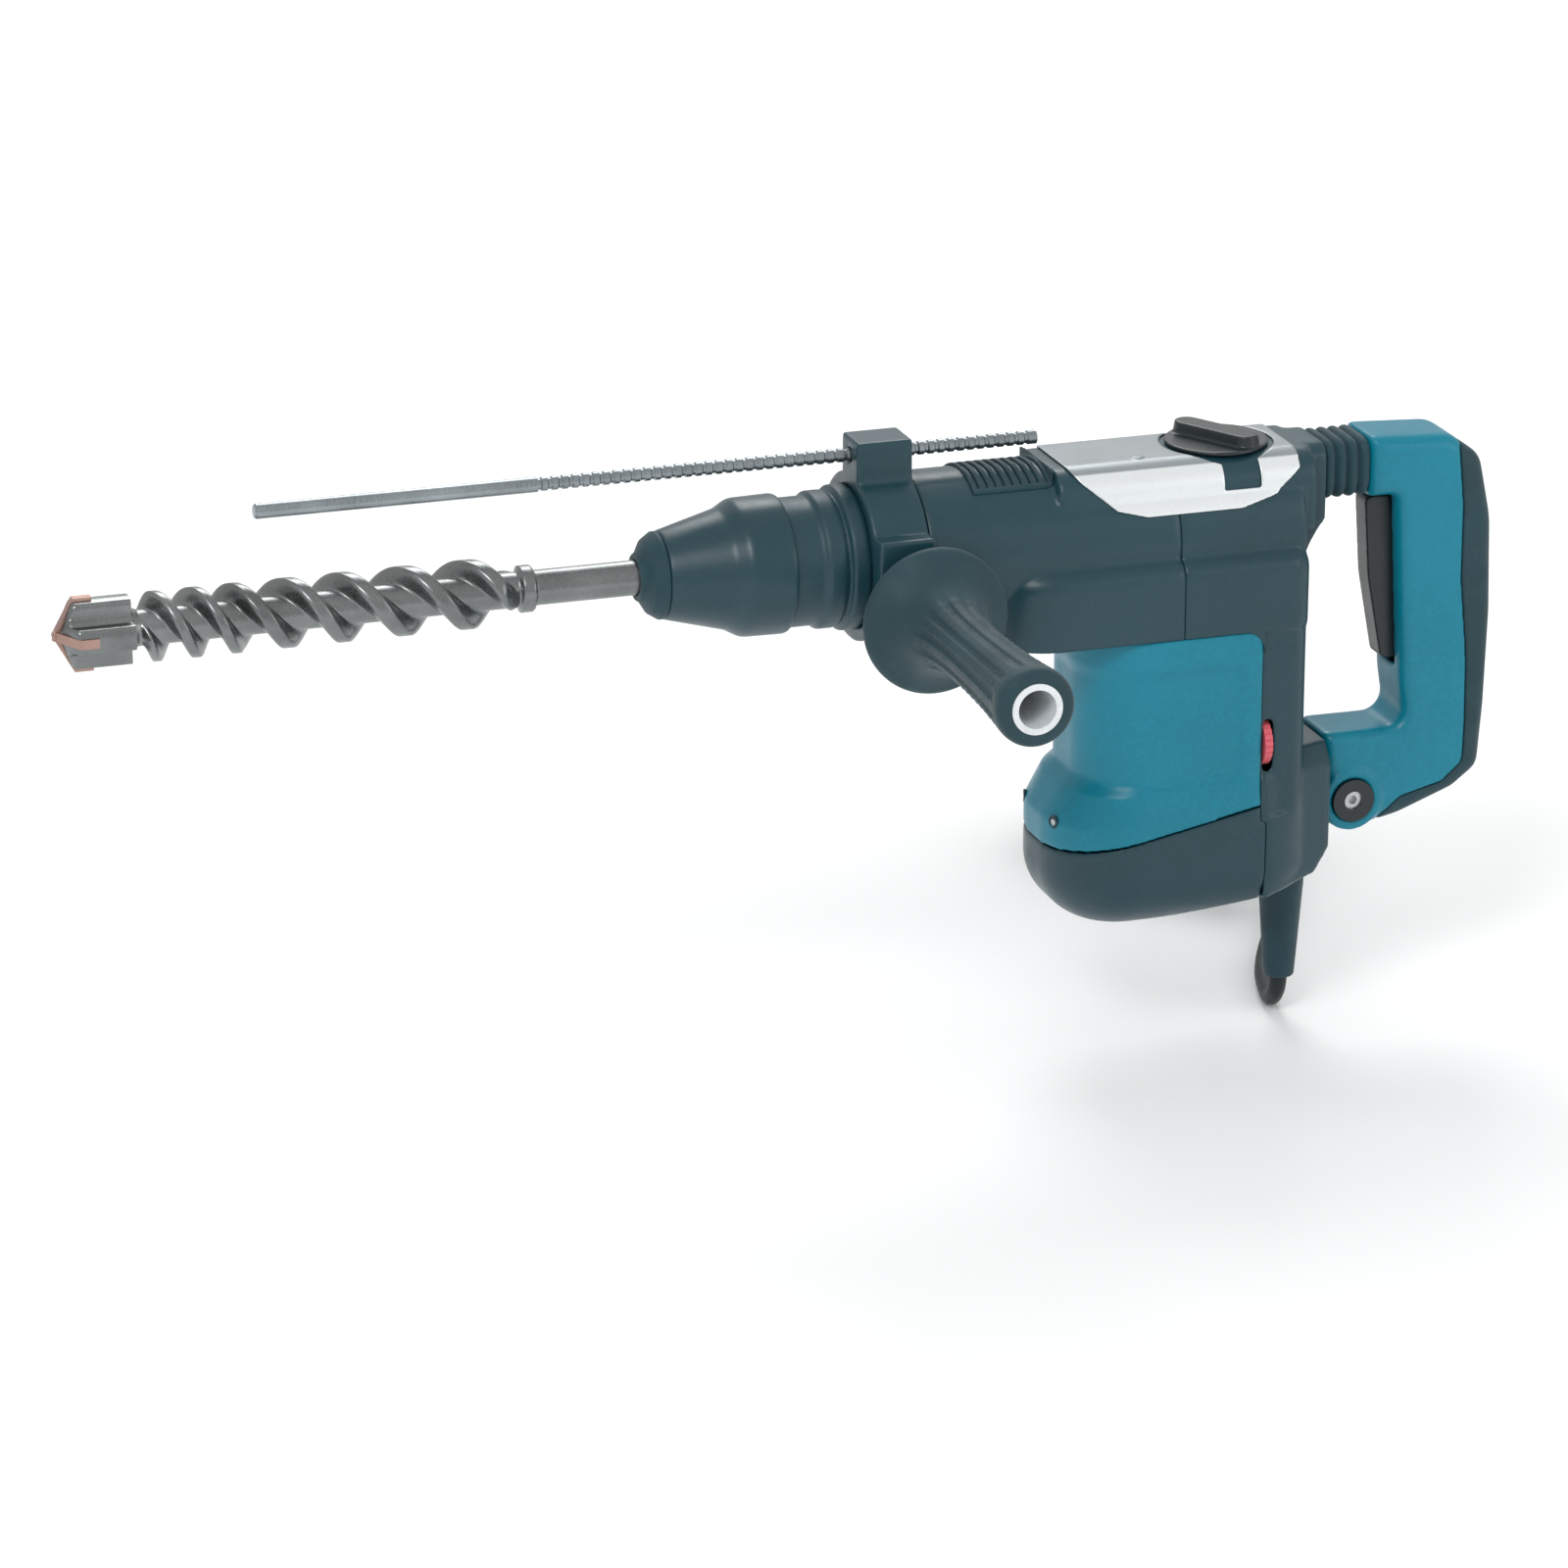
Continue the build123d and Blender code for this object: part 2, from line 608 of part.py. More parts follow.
with BuildPart() as rear_housing:
    add(motor_outer)
    box(0, 300, -80, 80, FLARE_LOW, 0, Mode.SUBTRACT)
    add(rear_block(0))
    add(upper_outer)
    add(motor_inner, mode=Mode.SUBTRACT)
    add(rear_block(WALL), mode=Mode.SUBTRACT)
    add(upper_inner, mode=Mode.SUBTRACT)
    box(0, SEAM_X, -80, 80, -80, 80, Mode.SUBTRACT)
    box(0, COLUMN_FRONT, -80, 80, -260, BULGE_FLOOR, Mode.SUBTRACT)
    box(SEAM_X, COLUMN_FRONT, -40, 40, -60, -40, Mode.SUBTRACT)
    box(0, BLOCK_FRONT, -80, 80, -260, -152, Mode.SUBTRACT)
    box(COLUMN_FRONT, COLUMN_REAR - 4, -30, 30, -60, -40, Mode.SUBTRACT)
    with BuildSketch(Plane.XZ) as pivot_side:
        with Locations(((255 + PIVOT_X) / 2, PIVOT_Z)):
            Rectangle(PIVOT_X - 255, 2 * PIVOT_BOSS_R)
        with Locations((PIVOT_X, PIVOT_Z)):
            Circle(PIVOT_BOSS_R)
            Circle(PIVOT_R, mode=Mode.SUBTRACT)
    extrude(amount=PIVOT_BOSS_HALF, both=True)
    with Locations((GUARD_X, 0, -192)):
        Cylinder(GUARD_NECK_R, 32, mode=Mode.SUBTRACT)
    box(DIAL_X - 2.6, DIAL_X + 2.6, -60, -21, DIAL_Z - 13.6, DIAL_Z + 13.6, Mode.SUBTRACT)
save(rear_housing, "rear_housing")

CASE_LOW, CASE_HIGH = -57.0, -53.0
with BuildPart() as gear_case:
    extrude(plan(CASE_LOW, MOTOR_FRONT + 3.3, 213.5, MOTOR_HALF - 3.4, 34, 2),
            amount=CASE_HIGH - CASE_LOW)
    with Locations((MOTOR_X, 0, -61)):
        Cylinder(14, 8)
    with Locations((COUNTER_X, 0, -59)):
        Cylinder(9.2, 6)
    for side in (-1, 1):
        box(190, 205, side * 30, side * 38, CASE_HIGH, -28)
        box(192, 203, side * 16, side * 34, -35, -28)
        box(143, 149, side * 29.5, side * 36, CASE_HIGH, 6)
    with Locations((CRANK_X, 0, -31)):
        Cylinder(21, 10)
    add(ring_x(143, 149, CYLINDER_R + RUN, 33).part)
    with Locations((CRANK_X, 0, -31)):
        Cylinder(17.5, 12, mode=Mode.SUBTRACT)
    with Locations((MOTOR_X, 0, -60.5)):
        Cylinder(11, 7, mode=Mode.SUBTRACT)
    with Locations((MOTOR_X, 0, -60)):
        Cylinder(6.5, 20, mode=Mode.SUBTRACT)
    with Locations((COUNTER_X, 0, -58)):
        Cylinder(8.8, 8, mode=Mode.SUBTRACT)
    with Locations((COUNTER_X, 0, -58)):
        Cylinder(6.5, 20, mode=Mode.SUBTRACT)
save(gear_case, "gear_case")

# ---- Top of the housing: plate, pad, mode knob -------------------------------------------
PLATE = 1.2
KNOB_R = 27.0
RECESS_R = 29.5
with BuildPart() as top_plate:
    add(upper_body(-PLATE))
    add(upper_outer, mode=Mode.SUBTRACT)
    with BuildSketch(Plane.XZ) as side_view:
        with BuildLine():
            Polyline((98, 60), (118, 36), (136, 21), (152, 17), (204, 17), (224, 22),
                     (238, 34), (241, 60), close=True)
        make_face()
    extrude(amount=80, both=True, mode=Mode.INTERSECT)
    with Locations((KNOB_X, 0, 45)):
        Cylinder(RECESS_R, 30, mode=Mode.SUBTRACT)
    box(196, 216, -50, -20, 26, 60, Mode.SUBTRACT)
    with Locations((154, -16, TOP_Z + PLATE + 0.4)):
        Cylinder(3.2, 0.8)
save(top_plate, "top_plate")

with BuildPart() as ridge_pad:
    add(upper_body(-1.5))
    add(upper_outer, mode=Mode.SUBTRACT)
    box(62, 105, -24, 24, 20, 60, Mode.INTERSECT)
    for rib in range(9):
        box(64 + 4.6 * rib, 66 + 4.6 * rib, -22, 22, 30, 60, Mode.SUBTRACT)
save(ridge_pad, "ridge_pad")

with BuildPart() as mode_knob:
    with BuildSketch(Plane.XY.offset(TOP_Z + 0.3)):
        with Locations((KNOB_X, 0)):
            Circle(KNOB_R)
    extrude(amount=2.2)
    with BuildSketch(Plane.XY.offset(TOP_Z + 2.5)):
        with Locations((KNOB_X, 0)):
            with Locations(Rotation(0, 0, -60)):
                SlotOverall(2 * KNOB_R - 1, 15)
    extrude(amount=6, taper=8)
save(mode_knob, "mode_knob")

# ---- Speed dial, controller, bellows -----------------------------------------------------
with BuildPart() as speed_dial:
    with BuildSketch(Plane.YZ.offset(DIAL_X - 2.1)):
        with Locations((DIAL_Y, DIAL_Z)):
            Circle(DIAL_R)
            with PolarLocations(DIAL_R, 24):
                Circle(0.5, mode=Mode.SUBTRACT)
    extrude(amount=4.2)
save(speed_dial, "speed_dial")

with BuildPart() as speed_controller:
    box(224, 238, -28, 28, -112, -62)
    box(219, 224, -18, 18, -104, -84)
save(speed_controller, "speed_controller")

BELLOWS_FRONT, BELLOWS_REAR = HOUSING_REAR, 284.0
BELLOWS_Z = 25.0


def bellows_section(x, half_width, half_height):
    """A rounded section of the bellows."""
    with BuildSketch(Plane.YZ.offset(x)) as section:
        with Locations((0, BELLOWS_Z)):
            Rectangle(2 * half_width, 2 * half_height)
        fillet(section.vertices(), 7)
    return section.sketch


with BuildPart() as bellows:
    fold = (BELLOWS_REAR - BELLOWS_FRONT) / 8
    for step in range(8):
        x = BELLOWS_FRONT + step * fold
        low, high = bellows_section(x, 17, 14.5), bellows_section(x + fold, 19, 16.5)
        if step % 2:
            low, high = bellows_section(x, 19, 16.5), bellows_section(x + fold, 17, 14.5)
        loft([low, high])
    with BuildSketch(Plane.YZ.offset(BELLOWS_FRONT)):
        with Locations((0, BELLOWS_Z)):
            Rectangle(28, 23)
    extrude(amount=BELLOWS_REAR - BELLOWS_FRONT, mode=Mode.SUBTRACT)
save(bellows, "bellows")

with BuildPart() as handle_spring:
    with BuildLine() as coil:
        Helix(pitch=6.2, height=BELLOWS_REAR - HOUSING_REAR - 3.6, radius=8,
              center=(HOUSING_REAR + 1.8, 0, BELLOWS_Z), direction=(1, 0, 0))
    with BuildSketch(Plane(origin=coil.line @ 0, z_dir=coil.line % 0)):
        Circle(1.1)
    sweep(path=coil.line, is_frenet=True)
save(handle_spring, "handle_spring")

# ---- Rear handle -------------------------------------------------------------------------
HANDLE_HALF = 20.0
HANDLE_FRONT = 262.6
HANDLE_OUTLINE = (
    ((BELLOWS_REAR, 41.5), 1), ((329, 39), 14), ((347, 26), 14), ((354, -8), 60),
    ((355.5, -60), 100), ((354, -112), 60), ((351.5, -146), 10), ((337, -157), 12),
    ((306, -168.5), 40), ((284, -173), 4), ((HANDLE_FRONT, -171), 10), ((HANDLE_FRONT, -119), 2),
    ((309, -119.5), 10), ((305, -95), 30), ((299.5, 8.5), 3), ((BELLOWS_REAR, 8.5), 1),
)


def handle_body(inset):
    """The whole D handle as one solid, drawn in on its sides by inset."""
    with BuildPart() as body:
        with BuildSketch(Plane.XZ) as side:
            with BuildLine():
                FilletPolyline(*[point for point, _ in HANDLE_OUTLINE],
                               radius=[r for _, r in HANDLE_OUTLINE], close=True)
            make_face()
            if inset:
                offset(amount=-inset)
        extrude(amount=HANDLE_HALF - inset, both=True)
    return body.part


def back_region():
    """The back of the handle, which a soft overmould covers."""
    with BuildPart() as region:
        with BuildSketch(Plane.XZ):
            with BuildLine():
                Polyline((345, 60), (334, 30), (337, 0), (337, -40), (341, -80), (342, -120),
                         (341, -142), (330, -152), (306, -158), (294, -168), (290, -190),
                         (400, -190), (400, 60), close=True)
            make_face()
        extrude(amount=60, both=True)
    return region.part


TRIGGER_HALF = 7.6
EAR_X, EAR_R, DISC_R = 297.0, 17.0, 11.5
HANDLE_SCREWS = ((334, 24), (347, -62), (345, -140), (303, -157))
with BuildPart() as handle_outer:
    add(handle_body(0))
    fillet(handle_outer.faces().filter_by(Axis.Y).edges(), 7)

handle_inner = handle_body(4)
back = back_region()
with BuildPart() as handle_shell:
    add(handle_outer.part)
    with BuildSketch(Plane.XZ):
        with Locations((PIVOT_X, PIVOT_Z)):
            Circle(EAR_R)
    extrude(amount=HANDLE_HALF + 2, both=True)
    add(back, mode=Mode.SUBTRACT)
    add(handle_inner, mode=Mode.SUBTRACT)
    box(258, EAR_X, -14.7, 14.7, -200, -125, Mode.SUBTRACT)
    box(280, 315, -TRIGGER_HALF - 0.4, TRIGGER_HALF + 0.4, -88, 8, Mode.SUBTRACT)
    with BuildSketch(Plane.XZ):
        with Locations((PIVOT_X, PIVOT_Z)):
            Circle(DISC_R)
    extrude(amount=HANDLE_HALF + 3, both=True, mode=Mode.SUBTRACT)
    for x, z in HANDLE_SCREWS[:1]:
        with Locations((x - 14, HANDLE_HALF - 1, z - 4)):
            Cylinder(3.2, 4, rotation=(90, 0, 0), mode=Mode.SUBTRACT)
save(handle_shell, "handle_shell")

with BuildPart() as handle_overmould:
    add(handle_outer.part)
    add(back, mode=Mode.INTERSECT)
    add(handle_inner, mode=Mode.SUBTRACT)
save(handle_overmould, "handle_overmould")

with BuildPart() as pivot_bushes:
    for side in (-1, 1):
        with BuildSketch(Plane.XZ.offset(side * 14.7)):
            with Locations((PIVOT_X, PIVOT_Z)):
                Circle(DISC_R)
                Circle(PIVOT_R + RUN, mode=Mode.SUBTRACT)
        extrude(amount=side * (HANDLE_HALF + 3.2 - 14.7))
save(pivot_bushes, "pivot_bushes")

with BuildPart() as pivot_pin:
    with BuildSketch(Plane.XZ):
        with Locations((PIVOT_X, PIVOT_Z)):
            Circle(PIVOT_R)
    extrude(amount=HANDLE_HALF + 1.5, both=True)
    for side in (-1, 1):
        with BuildSketch(Plane.XZ.offset(side * (HANDLE_HALF + 1.5))):
            with Locations((PIVOT_X, PIVOT_Z)):
                RegularPolygon(2.6, 6)
        extrude(amount=-side * 3, mode=Mode.SUBTRACT)
save(pivot_pin, "pivot_pin")

with BuildPart() as trigger:
    with BuildSketch(Plane.XZ) as side:
        with BuildLine():
            FilletPolyline((286, 6.5), (301, 6.5), (311.5, -84), (297.5, -84), (289, -38),
                           radius=[4, 2, 3, 4, 60], close=True)
        make_face()
    extrude(amount=TRIGGER_HALF, both=True)
save(trigger, "trigger")

with BuildPart() as trigger_switch:
    box(323, 343, -9, 9, -72, -20)
save(trigger_switch, "trigger_switch")

# ---- Side handle and depth rod -----------------------------------------------------------
BASE_R = 44.0
with BuildPart() as side_handle_base:
    with BuildSketch(Plane.YZ.offset(BAND_FRONT)) as front_view:
        Circle(BASE_R)
        with Locations((-1, 31.5)):
            Rectangle(25, 63)
        with Locations((-40, -8)):
            Rectangle(20, 58)
        Circle(BAND_SEAT_R + RUN, mode=Mode.SUBTRACT)
    extrude(amount=BAND_REAR - BAND_FRONT)
    with Locations((GRIP_X, -53, GRIP_Z)):
        Cylinder(19, 10, rotation=(90, 0, 0))
    box(10, 26, -BASE_R - 1, BASE_R + 1, -BASE_R - 1, -38, Mode.SUBTRACT)
    with Locations((18, 0, ROD_Z)):
        Cylinder(ROD_R + RUN, 60, rotation=(0, 90, 0), mode=Mode.SUBTRACT)
    with Locations((GRIP_X, -47, GRIP_Z)):
        Cylinder(5 + RUN, 26, rotation=(90, 0, 0), mode=Mode.SUBTRACT)
save(side_handle_base, "side_handle_base")

with BuildPart() as band_strap:
    with BuildSketch(Plane.YZ.offset(10.5)):
        Circle(BASE_R + 1)
        Circle(BASE_R, mode=Mode.SUBTRACT)
        with Locations((0, 30)):
            Rectangle(120, 60 + 76, mode=Mode.SUBTRACT)
    extrude(amount=15)
save(band_strap, "band_strap")


def turned_on_grip(label, *outline):
    """Writes a solid turned about the side grip's axis from (distance, radius) points."""
    with BuildPart() as piece:
        with BuildSketch(Plane.XY.offset(GRIP_Z)):
            with BuildLine():
                Polyline(*[(GRIP_X + r, -d) for d, r in outline], close=True)
            make_face()
        revolve(axis=Axis((GRIP_X, 0, GRIP_Z), (0, -1, 0)))
    save(piece, label)


turned_on_grip("side_grip", (58.3, 6.5), (58.3, 38.3), (61, 38.5), (65, 37), (70, 32), (77, 25),
               (86, 20), (96, 18), (118, 16.8), (150, 16.8), (180, 18), (198, 20.2), (205, 20.5),
               (208.5, 18.5), (208.5, 13), (120, 13), (120, 6.5))
turned_on_grip("grip_liner", (120, 6.5), (120, 13), (209, 13), (209, 9.8), (134, 9.8), (134, 6.5))
turned_on_grip("clamp_bolt", (37.5, 0), (37.5, 4.9), (62, 4.9), (62, 6.5), (134, 6.5), (134, 9.5),
               (140, 9.5), (140, 0))

ROD_FRONT, ROD_REAR, TEETH_START, TEETH_PITCH = -307.5, 104.0, -162.0, 5.4
with BuildPart() as depth_rod:
    tooth_count = int((ROD_REAR - TEETH_START) / TEETH_PITCH)
    teeth = [(TEETH_START + TEETH_PITCH * i + dx, r) for i in range(tooth_count)
             for dx, r in ((0.3, 2.9), (1.6, 2.9), (2.3, ROD_R), (5.0, ROD_R))]
    with BuildSketch(Plane.XY.offset(ROD_Z)):
        with BuildLine():
            Polyline((ROD_FRONT, 0), (ROD_FRONT, 3.2), (ROD_FRONT + 1, 3.9), (TEETH_START, 3.9),
                     *teeth, (ROD_REAR, ROD_R), (ROD_REAR, 0), close=True)
        make_face()
    revolve(axis=Axis((0, 0, ROD_Z), (1, 0, 0)))
save(depth_rod, "depth_rod")

# ---- Cord --------------------------------------------------------------------------------
with BuildPart() as cord_guard:
    with BuildSketch(Plane.XZ):
        with BuildLine():
            Polyline((GUARD_X + CORD_R, GUARD_TOP), (GUARD_X + 9.8, GUARD_TOP),
                     (GUARD_X + 9.8, GUARD_TOP - 4), (GUARD_X + GUARD_NECK_R, GUARD_TOP - 4),
                     (GUARD_X + GUARD_NECK_R, -194.2), (GUARD_X + 12.4, -194.3),
                     (GUARD_X + 12, -206), (GUARD_X + 8.2, GUARD_END),
                     (GUARD_X + CORD_R, GUARD_END), close=True)
        make_face()
    revolve(axis=Axis((GUARD_X, 0, 0), (0, 0, 1)))
save(cord_guard, "cord_guard")

CORD_Z = FLOOR_Z + CORD_R + 0.05
COIL_X, COIL_Y, COIL_R = 282.0, 262.0, 52.0
COIL_WRAPS = 4
COIL_SIDE = COIL_WRAPS * 2 * CORD_R
COIL_OUT = COIL_R + COIL_SIDE / 2
COIL_TOP = FLOOR_Z + COIL_SIDE
COIL_TURNS = 14
PLUG_R, PLUG_LENGTH = 17.0, 42.0
PLUG_Z = COIL_TOP + PLUG_R
TAIL_R = COIL_R + CORD_R

CORD_ROUTE = (
    (GUARD_X, 0, GUARD_END), (247, 0.8, -265), (247.4, 5, -271.5), (248.4, 13, CORD_Z),
    (252, 29, CORD_Z), (262, 58, CORD_Z), (283, 98, CORD_Z), (311, 146, CORD_Z),
    (336, 198, CORD_Z), (COIL_X + COIL_OUT - CORD_R, COIL_Y - 8, CORD_Z),
)


def on_coil(angle, z):
    """A point over the middle of the coil's turns at an angle about its centre."""
    return (COIL_X + TAIL_R * cos(radians(angle)), COIL_Y + TAIL_R * sin(radians(angle)), z)


PLUG_ANGLE = 250.0
TAIL_ROUTE = (
    on_coil(160, COIL_TOP - CORD_R), on_coil(182, COIL_TOP - 1.5), on_coil(204, COIL_TOP + 7),
    on_coil(226, COIL_TOP + 14), on_coil(PLUG_ANGLE, PLUG_Z),
)


def bend_radii(route):
    """The largest arc that each corner of a route leaves room for."""
    radii = []
    for before, corner, after in zip(route, route[1:], route[2:]):
        way_in, way_out = Vector(*corner) - Vector(*before), Vector(*after) - Vector(*corner)
        half_turn = radians(way_in.get_angle(way_out) / 2)
        radii.append(0.45 * min(way_in.length, way_out.length) / tan(half_turn))
    return radii


def lay_tube(label, route):
    """Makes a cord's tube along straight runs and tangent arcs, and prints what it measures."""
    radii = bend_radii(route)
    with BuildPart() as tube:
        with BuildLine() as path:
            FilletPolyline(*route, radius=radii)
        with BuildSketch(Plane(origin=path.line @ 0, z_dir=path.line % 0)):
            Circle(CORD_R)
        sweep(path=path.line)
    length = sum(edge.length for edge in path.edges())
    print(label, "radii", [round(r, 1) for r in radii], "length", round(length, 1),
          "volume share", round(tube.part.volume / (pi * CORD_R**2 * length), 4))
    return tube.part, length


lead, lead_length = lay_tube("lead", CORD_ROUTE)
tail, tail_length = lay_tube("tail", TAIL_ROUTE)
print("cord length", round(lead_length + tail_length + COIL_TURNS * 2 * pi * COIL_R))
with BuildPart() as cord_tube:
    add(lead)
    add(tail)
save(cord_tube, "cord_tube")

with BuildPart() as cord_coil:
    with BuildSketch(Plane.XY.offset(FLOOR_Z)):
        with Locations((COIL_X, COIL_Y)):
            Circle(COIL_OUT)
            Circle(COIL_R - COIL_SIDE / 2, mode=Mode.SUBTRACT)
    extrude(amount=COIL_SIDE)
    fillet(cord_coil.edges().filter_by(GeomType.CIRCLE), CORD_R)
save(cord_coil, "cord_coil")

PLUG_WAY = (-sin(radians(PLUG_ANGLE)), cos(radians(PLUG_ANGLE)), 0)
PLUG_PLANE = Plane(origin=on_coil(PLUG_ANGLE, PLUG_Z), z_dir=PLUG_WAY)
with BuildPart() as plug:
    with BuildSketch(PLUG_PLANE):
        Circle(7)
    extrude(amount=14, taper=-20)
    with BuildSketch(PLUG_PLANE.offset(10)):
        Circle(PLUG_R)
    extrude(amount=PLUG_LENGTH - 10)
    fillet(plug.faces().sort_by(Axis(PLUG_PLANE.origin, PLUG_WAY))[-1].edges(), 3)
save(plug, "plug")

with BuildPart() as plug_pins:
    with BuildSketch(PLUG_PLANE.offset(PLUG_LENGTH)):
        with GridLocations(19, 1, 2, 1):
            Circle(2.4)
    extrude(amount=19)
save(plug_pins, "plug_pins")
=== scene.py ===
import json
import math

import bpy
import numpy as np
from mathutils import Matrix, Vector
from mathutils.bvhtree import BVHTree

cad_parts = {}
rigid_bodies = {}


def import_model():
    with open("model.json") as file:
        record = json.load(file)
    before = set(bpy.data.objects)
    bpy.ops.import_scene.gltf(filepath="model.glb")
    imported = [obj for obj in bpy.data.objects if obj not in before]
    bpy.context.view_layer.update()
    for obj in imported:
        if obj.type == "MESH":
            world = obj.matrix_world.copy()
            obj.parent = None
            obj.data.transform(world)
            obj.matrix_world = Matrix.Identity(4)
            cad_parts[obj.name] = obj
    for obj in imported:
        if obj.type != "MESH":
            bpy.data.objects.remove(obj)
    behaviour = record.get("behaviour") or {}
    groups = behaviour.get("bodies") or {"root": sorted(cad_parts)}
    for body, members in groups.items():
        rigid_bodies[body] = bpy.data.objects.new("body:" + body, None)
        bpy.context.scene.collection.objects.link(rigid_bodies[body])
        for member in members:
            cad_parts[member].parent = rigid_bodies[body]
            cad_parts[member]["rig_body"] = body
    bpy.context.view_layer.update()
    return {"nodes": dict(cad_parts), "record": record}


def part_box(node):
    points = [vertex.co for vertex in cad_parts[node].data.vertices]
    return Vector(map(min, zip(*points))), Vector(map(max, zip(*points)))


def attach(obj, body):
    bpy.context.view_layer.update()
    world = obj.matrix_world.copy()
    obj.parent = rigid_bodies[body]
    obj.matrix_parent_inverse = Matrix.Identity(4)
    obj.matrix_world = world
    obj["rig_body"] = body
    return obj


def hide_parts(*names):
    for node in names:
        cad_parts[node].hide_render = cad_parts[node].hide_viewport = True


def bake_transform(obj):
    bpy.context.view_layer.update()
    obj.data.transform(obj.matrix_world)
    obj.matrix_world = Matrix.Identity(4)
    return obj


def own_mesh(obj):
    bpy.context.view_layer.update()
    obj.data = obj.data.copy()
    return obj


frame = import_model()
MM = 0.001


# ---- Camera, light and floor -------------------------------------------------------------
AZIMUTH, ELEVATION = math.radians(-18.5), math.radians(19.5)
LOOK_AT = Vector((-0.0407, -0.0272, -0.1094))
CAMERA_DISTANCE = 3.333
LENS, SENSOR = 150, 36
FLOOR_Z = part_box("cord_coil")[0].z


def add_camera():
    """The camera, turned to the front left of the tool and a little above it."""
    back = Vector((math.sin(AZIMUTH) * math.cos(ELEVATION),
                   -math.cos(AZIMUTH) * math.cos(ELEVATION), math.sin(ELEVATION)))
    data = bpy.data.cameras.new("camera")
    data.lens, data.sensor_width = LENS, SENSOR
    data.clip_start, data.clip_end = 0.05, 50
    camera = bpy.data.objects.new("camera", data)
    camera.location = LOOK_AT + back * CAMERA_DISTANCE
    camera.rotation_euler = (-back).to_track_quat("-Z", "Y").to_euler()
    bpy.context.scene.collection.objects.link(camera)
    bpy.context.scene.camera = camera


def add_light(name, place, size, power, tint=(1, 1, 1)):
    """A square soft box that faces the tool."""
    data = bpy.data.lights.new(name, "AREA")
    data.shape, data.size, data.energy, data.color = "SQUARE", size, power, tint
    lamp = bpy.data.objects.new(name, data)
    lamp.location = Vector(place)
    lamp.rotation_euler = (LOOK_AT - lamp.location).to_track_quat("-Z", "Y").to_euler()
    bpy.context.scene.collection.objects.link(lamp)


def add_studio():
    """A white world, three soft boxes and a pale floor."""
    world = bpy.data.worlds.new("studio")
    world.use_nodes = True
    world.node_tree.nodes["Background"].inputs["Color"].default_value = (1, 1, 1, 1)
    world.node_tree.nodes["Background"].inputs["Strength"].default_value = 0.72
    bpy.context.scene.world = world
    bpy.context.scene.view_settings.view_transform = "Standard"
    add_light("key", (-1.6, -2.2, 2.4), 1.2, 46)
    add_light("fill", (2.4, -2.4, 0.9), 1.8, 14)
    add_light("back", (0.6, 2.2, 2.2), 1.4, 34)
    bpy.ops.mesh.primitive_plane_add(size=30, location=(0, 0, FLOOR_Z - 0.3 * MM))
    floor = bpy.context.object
    floor.name = "floor"
    paint = bpy.data.materials.new("floor_white")
    paint.use_nodes = True
    shader = paint.node_tree.nodes["Principled BSDF"]
    shader.inputs["Base Color"].default_value = (0.95, 0.955, 0.96, 1)
    shader.inputs["Roughness"].default_value = 0.9
    floor.data.materials.append(paint)


add_camera()
add_studio()


# ---- Materials ---------------------------------------------------------------------------
class Nodes:
    """Short calls for building one material's node tree."""

    def __init__(self, name):
        self.material = bpy.data.materials.new(name)
        self.material.use_nodes = True
        self.tree = self.material.node_tree
        self.shader = self.tree.nodes["Principled BSDF"]
        self.place = self.tree.nodes.new("ShaderNodeTexCoord").outputs["Object"]

    def link(self, out, into):
        self.tree.links.new(out, into)

    def stretched(self, scale):
        """Object coordinates multiplied by a scale along each axis."""
        node = self.tree.nodes.new("ShaderNodeMapping")
        node.inputs["Scale"].default_value = scale
        self.link(self.place, node.inputs["Vector"])
        return node.outputs["Vector"]

    def noise(self, scale, detail=3, roughness=0.5, stretch=None):
        node = self.tree.nodes.new("ShaderNodeTexNoise")
        node.inputs["Scale"].default_value = scale
        node.inputs["Detail"].default_value = detail
        node.inputs["Roughness"].default_value = roughness
        self.link(self.stretched(stretch) if stretch else self.place, node.inputs["Vector"])
        return node.outputs["Fac"]

    def ramp(self, value, low, high, to_low, to_high):
        """A value mapped from one range to another, held at its ends."""
        node = self.tree.nodes.new("ShaderNodeMapRange")
        for name, number in (("From Min", low), ("From Max", high),
                             ("To Min", to_low), ("To Max", to_high)):
            node.inputs[name].default_value = number
        self.link(value, node.inputs["Value"])
        return node.outputs["Result"]

    def math(self, operation, a, b):
        node = self.tree.nodes.new("ShaderNodeMath")
        node.operation = operation
        for socket, value in zip(node.inputs, (a, b)):
            if isinstance(value, (int, float)):
                socket.default_value = value
            else:
                self.link(value, socket)
        return node.outputs["Value"]

    def mixed(self, factor, first, second):
        """A blend of two colours."""
        node = self.tree.nodes.new("ShaderNodeMix")
        node.data_type = "RGBA"
        self.link(factor, node.inputs["Factor"])
        for name, colour in (("A", first), ("B", second)):
            socket = [s for s in node.inputs if s.name == name and s.type == "RGBA"][0]
            if isinstance(colour, tuple):
                socket.default_value = (*colour, 1)
            else:
                self.link(colour, socket)
        return [s for s in node.outputs if s.type == "RGBA"][0]

    def bump(self, height, strength, distance):
        node = self.tree.nodes.new("ShaderNodeBump")
        node.inputs["Strength"].default_value = strength
        node.inputs["Distance"].default_value = distance
        self.link(height, node.inputs["Height"])
        return node.outputs["Normal"]

    def set(self, **values):
        for name, value in values.items():
            self.shader.inputs[name.replace("_", " ")].default_value = value


def shade(colour, factor):
    return tuple(channel * factor for channel in colour)


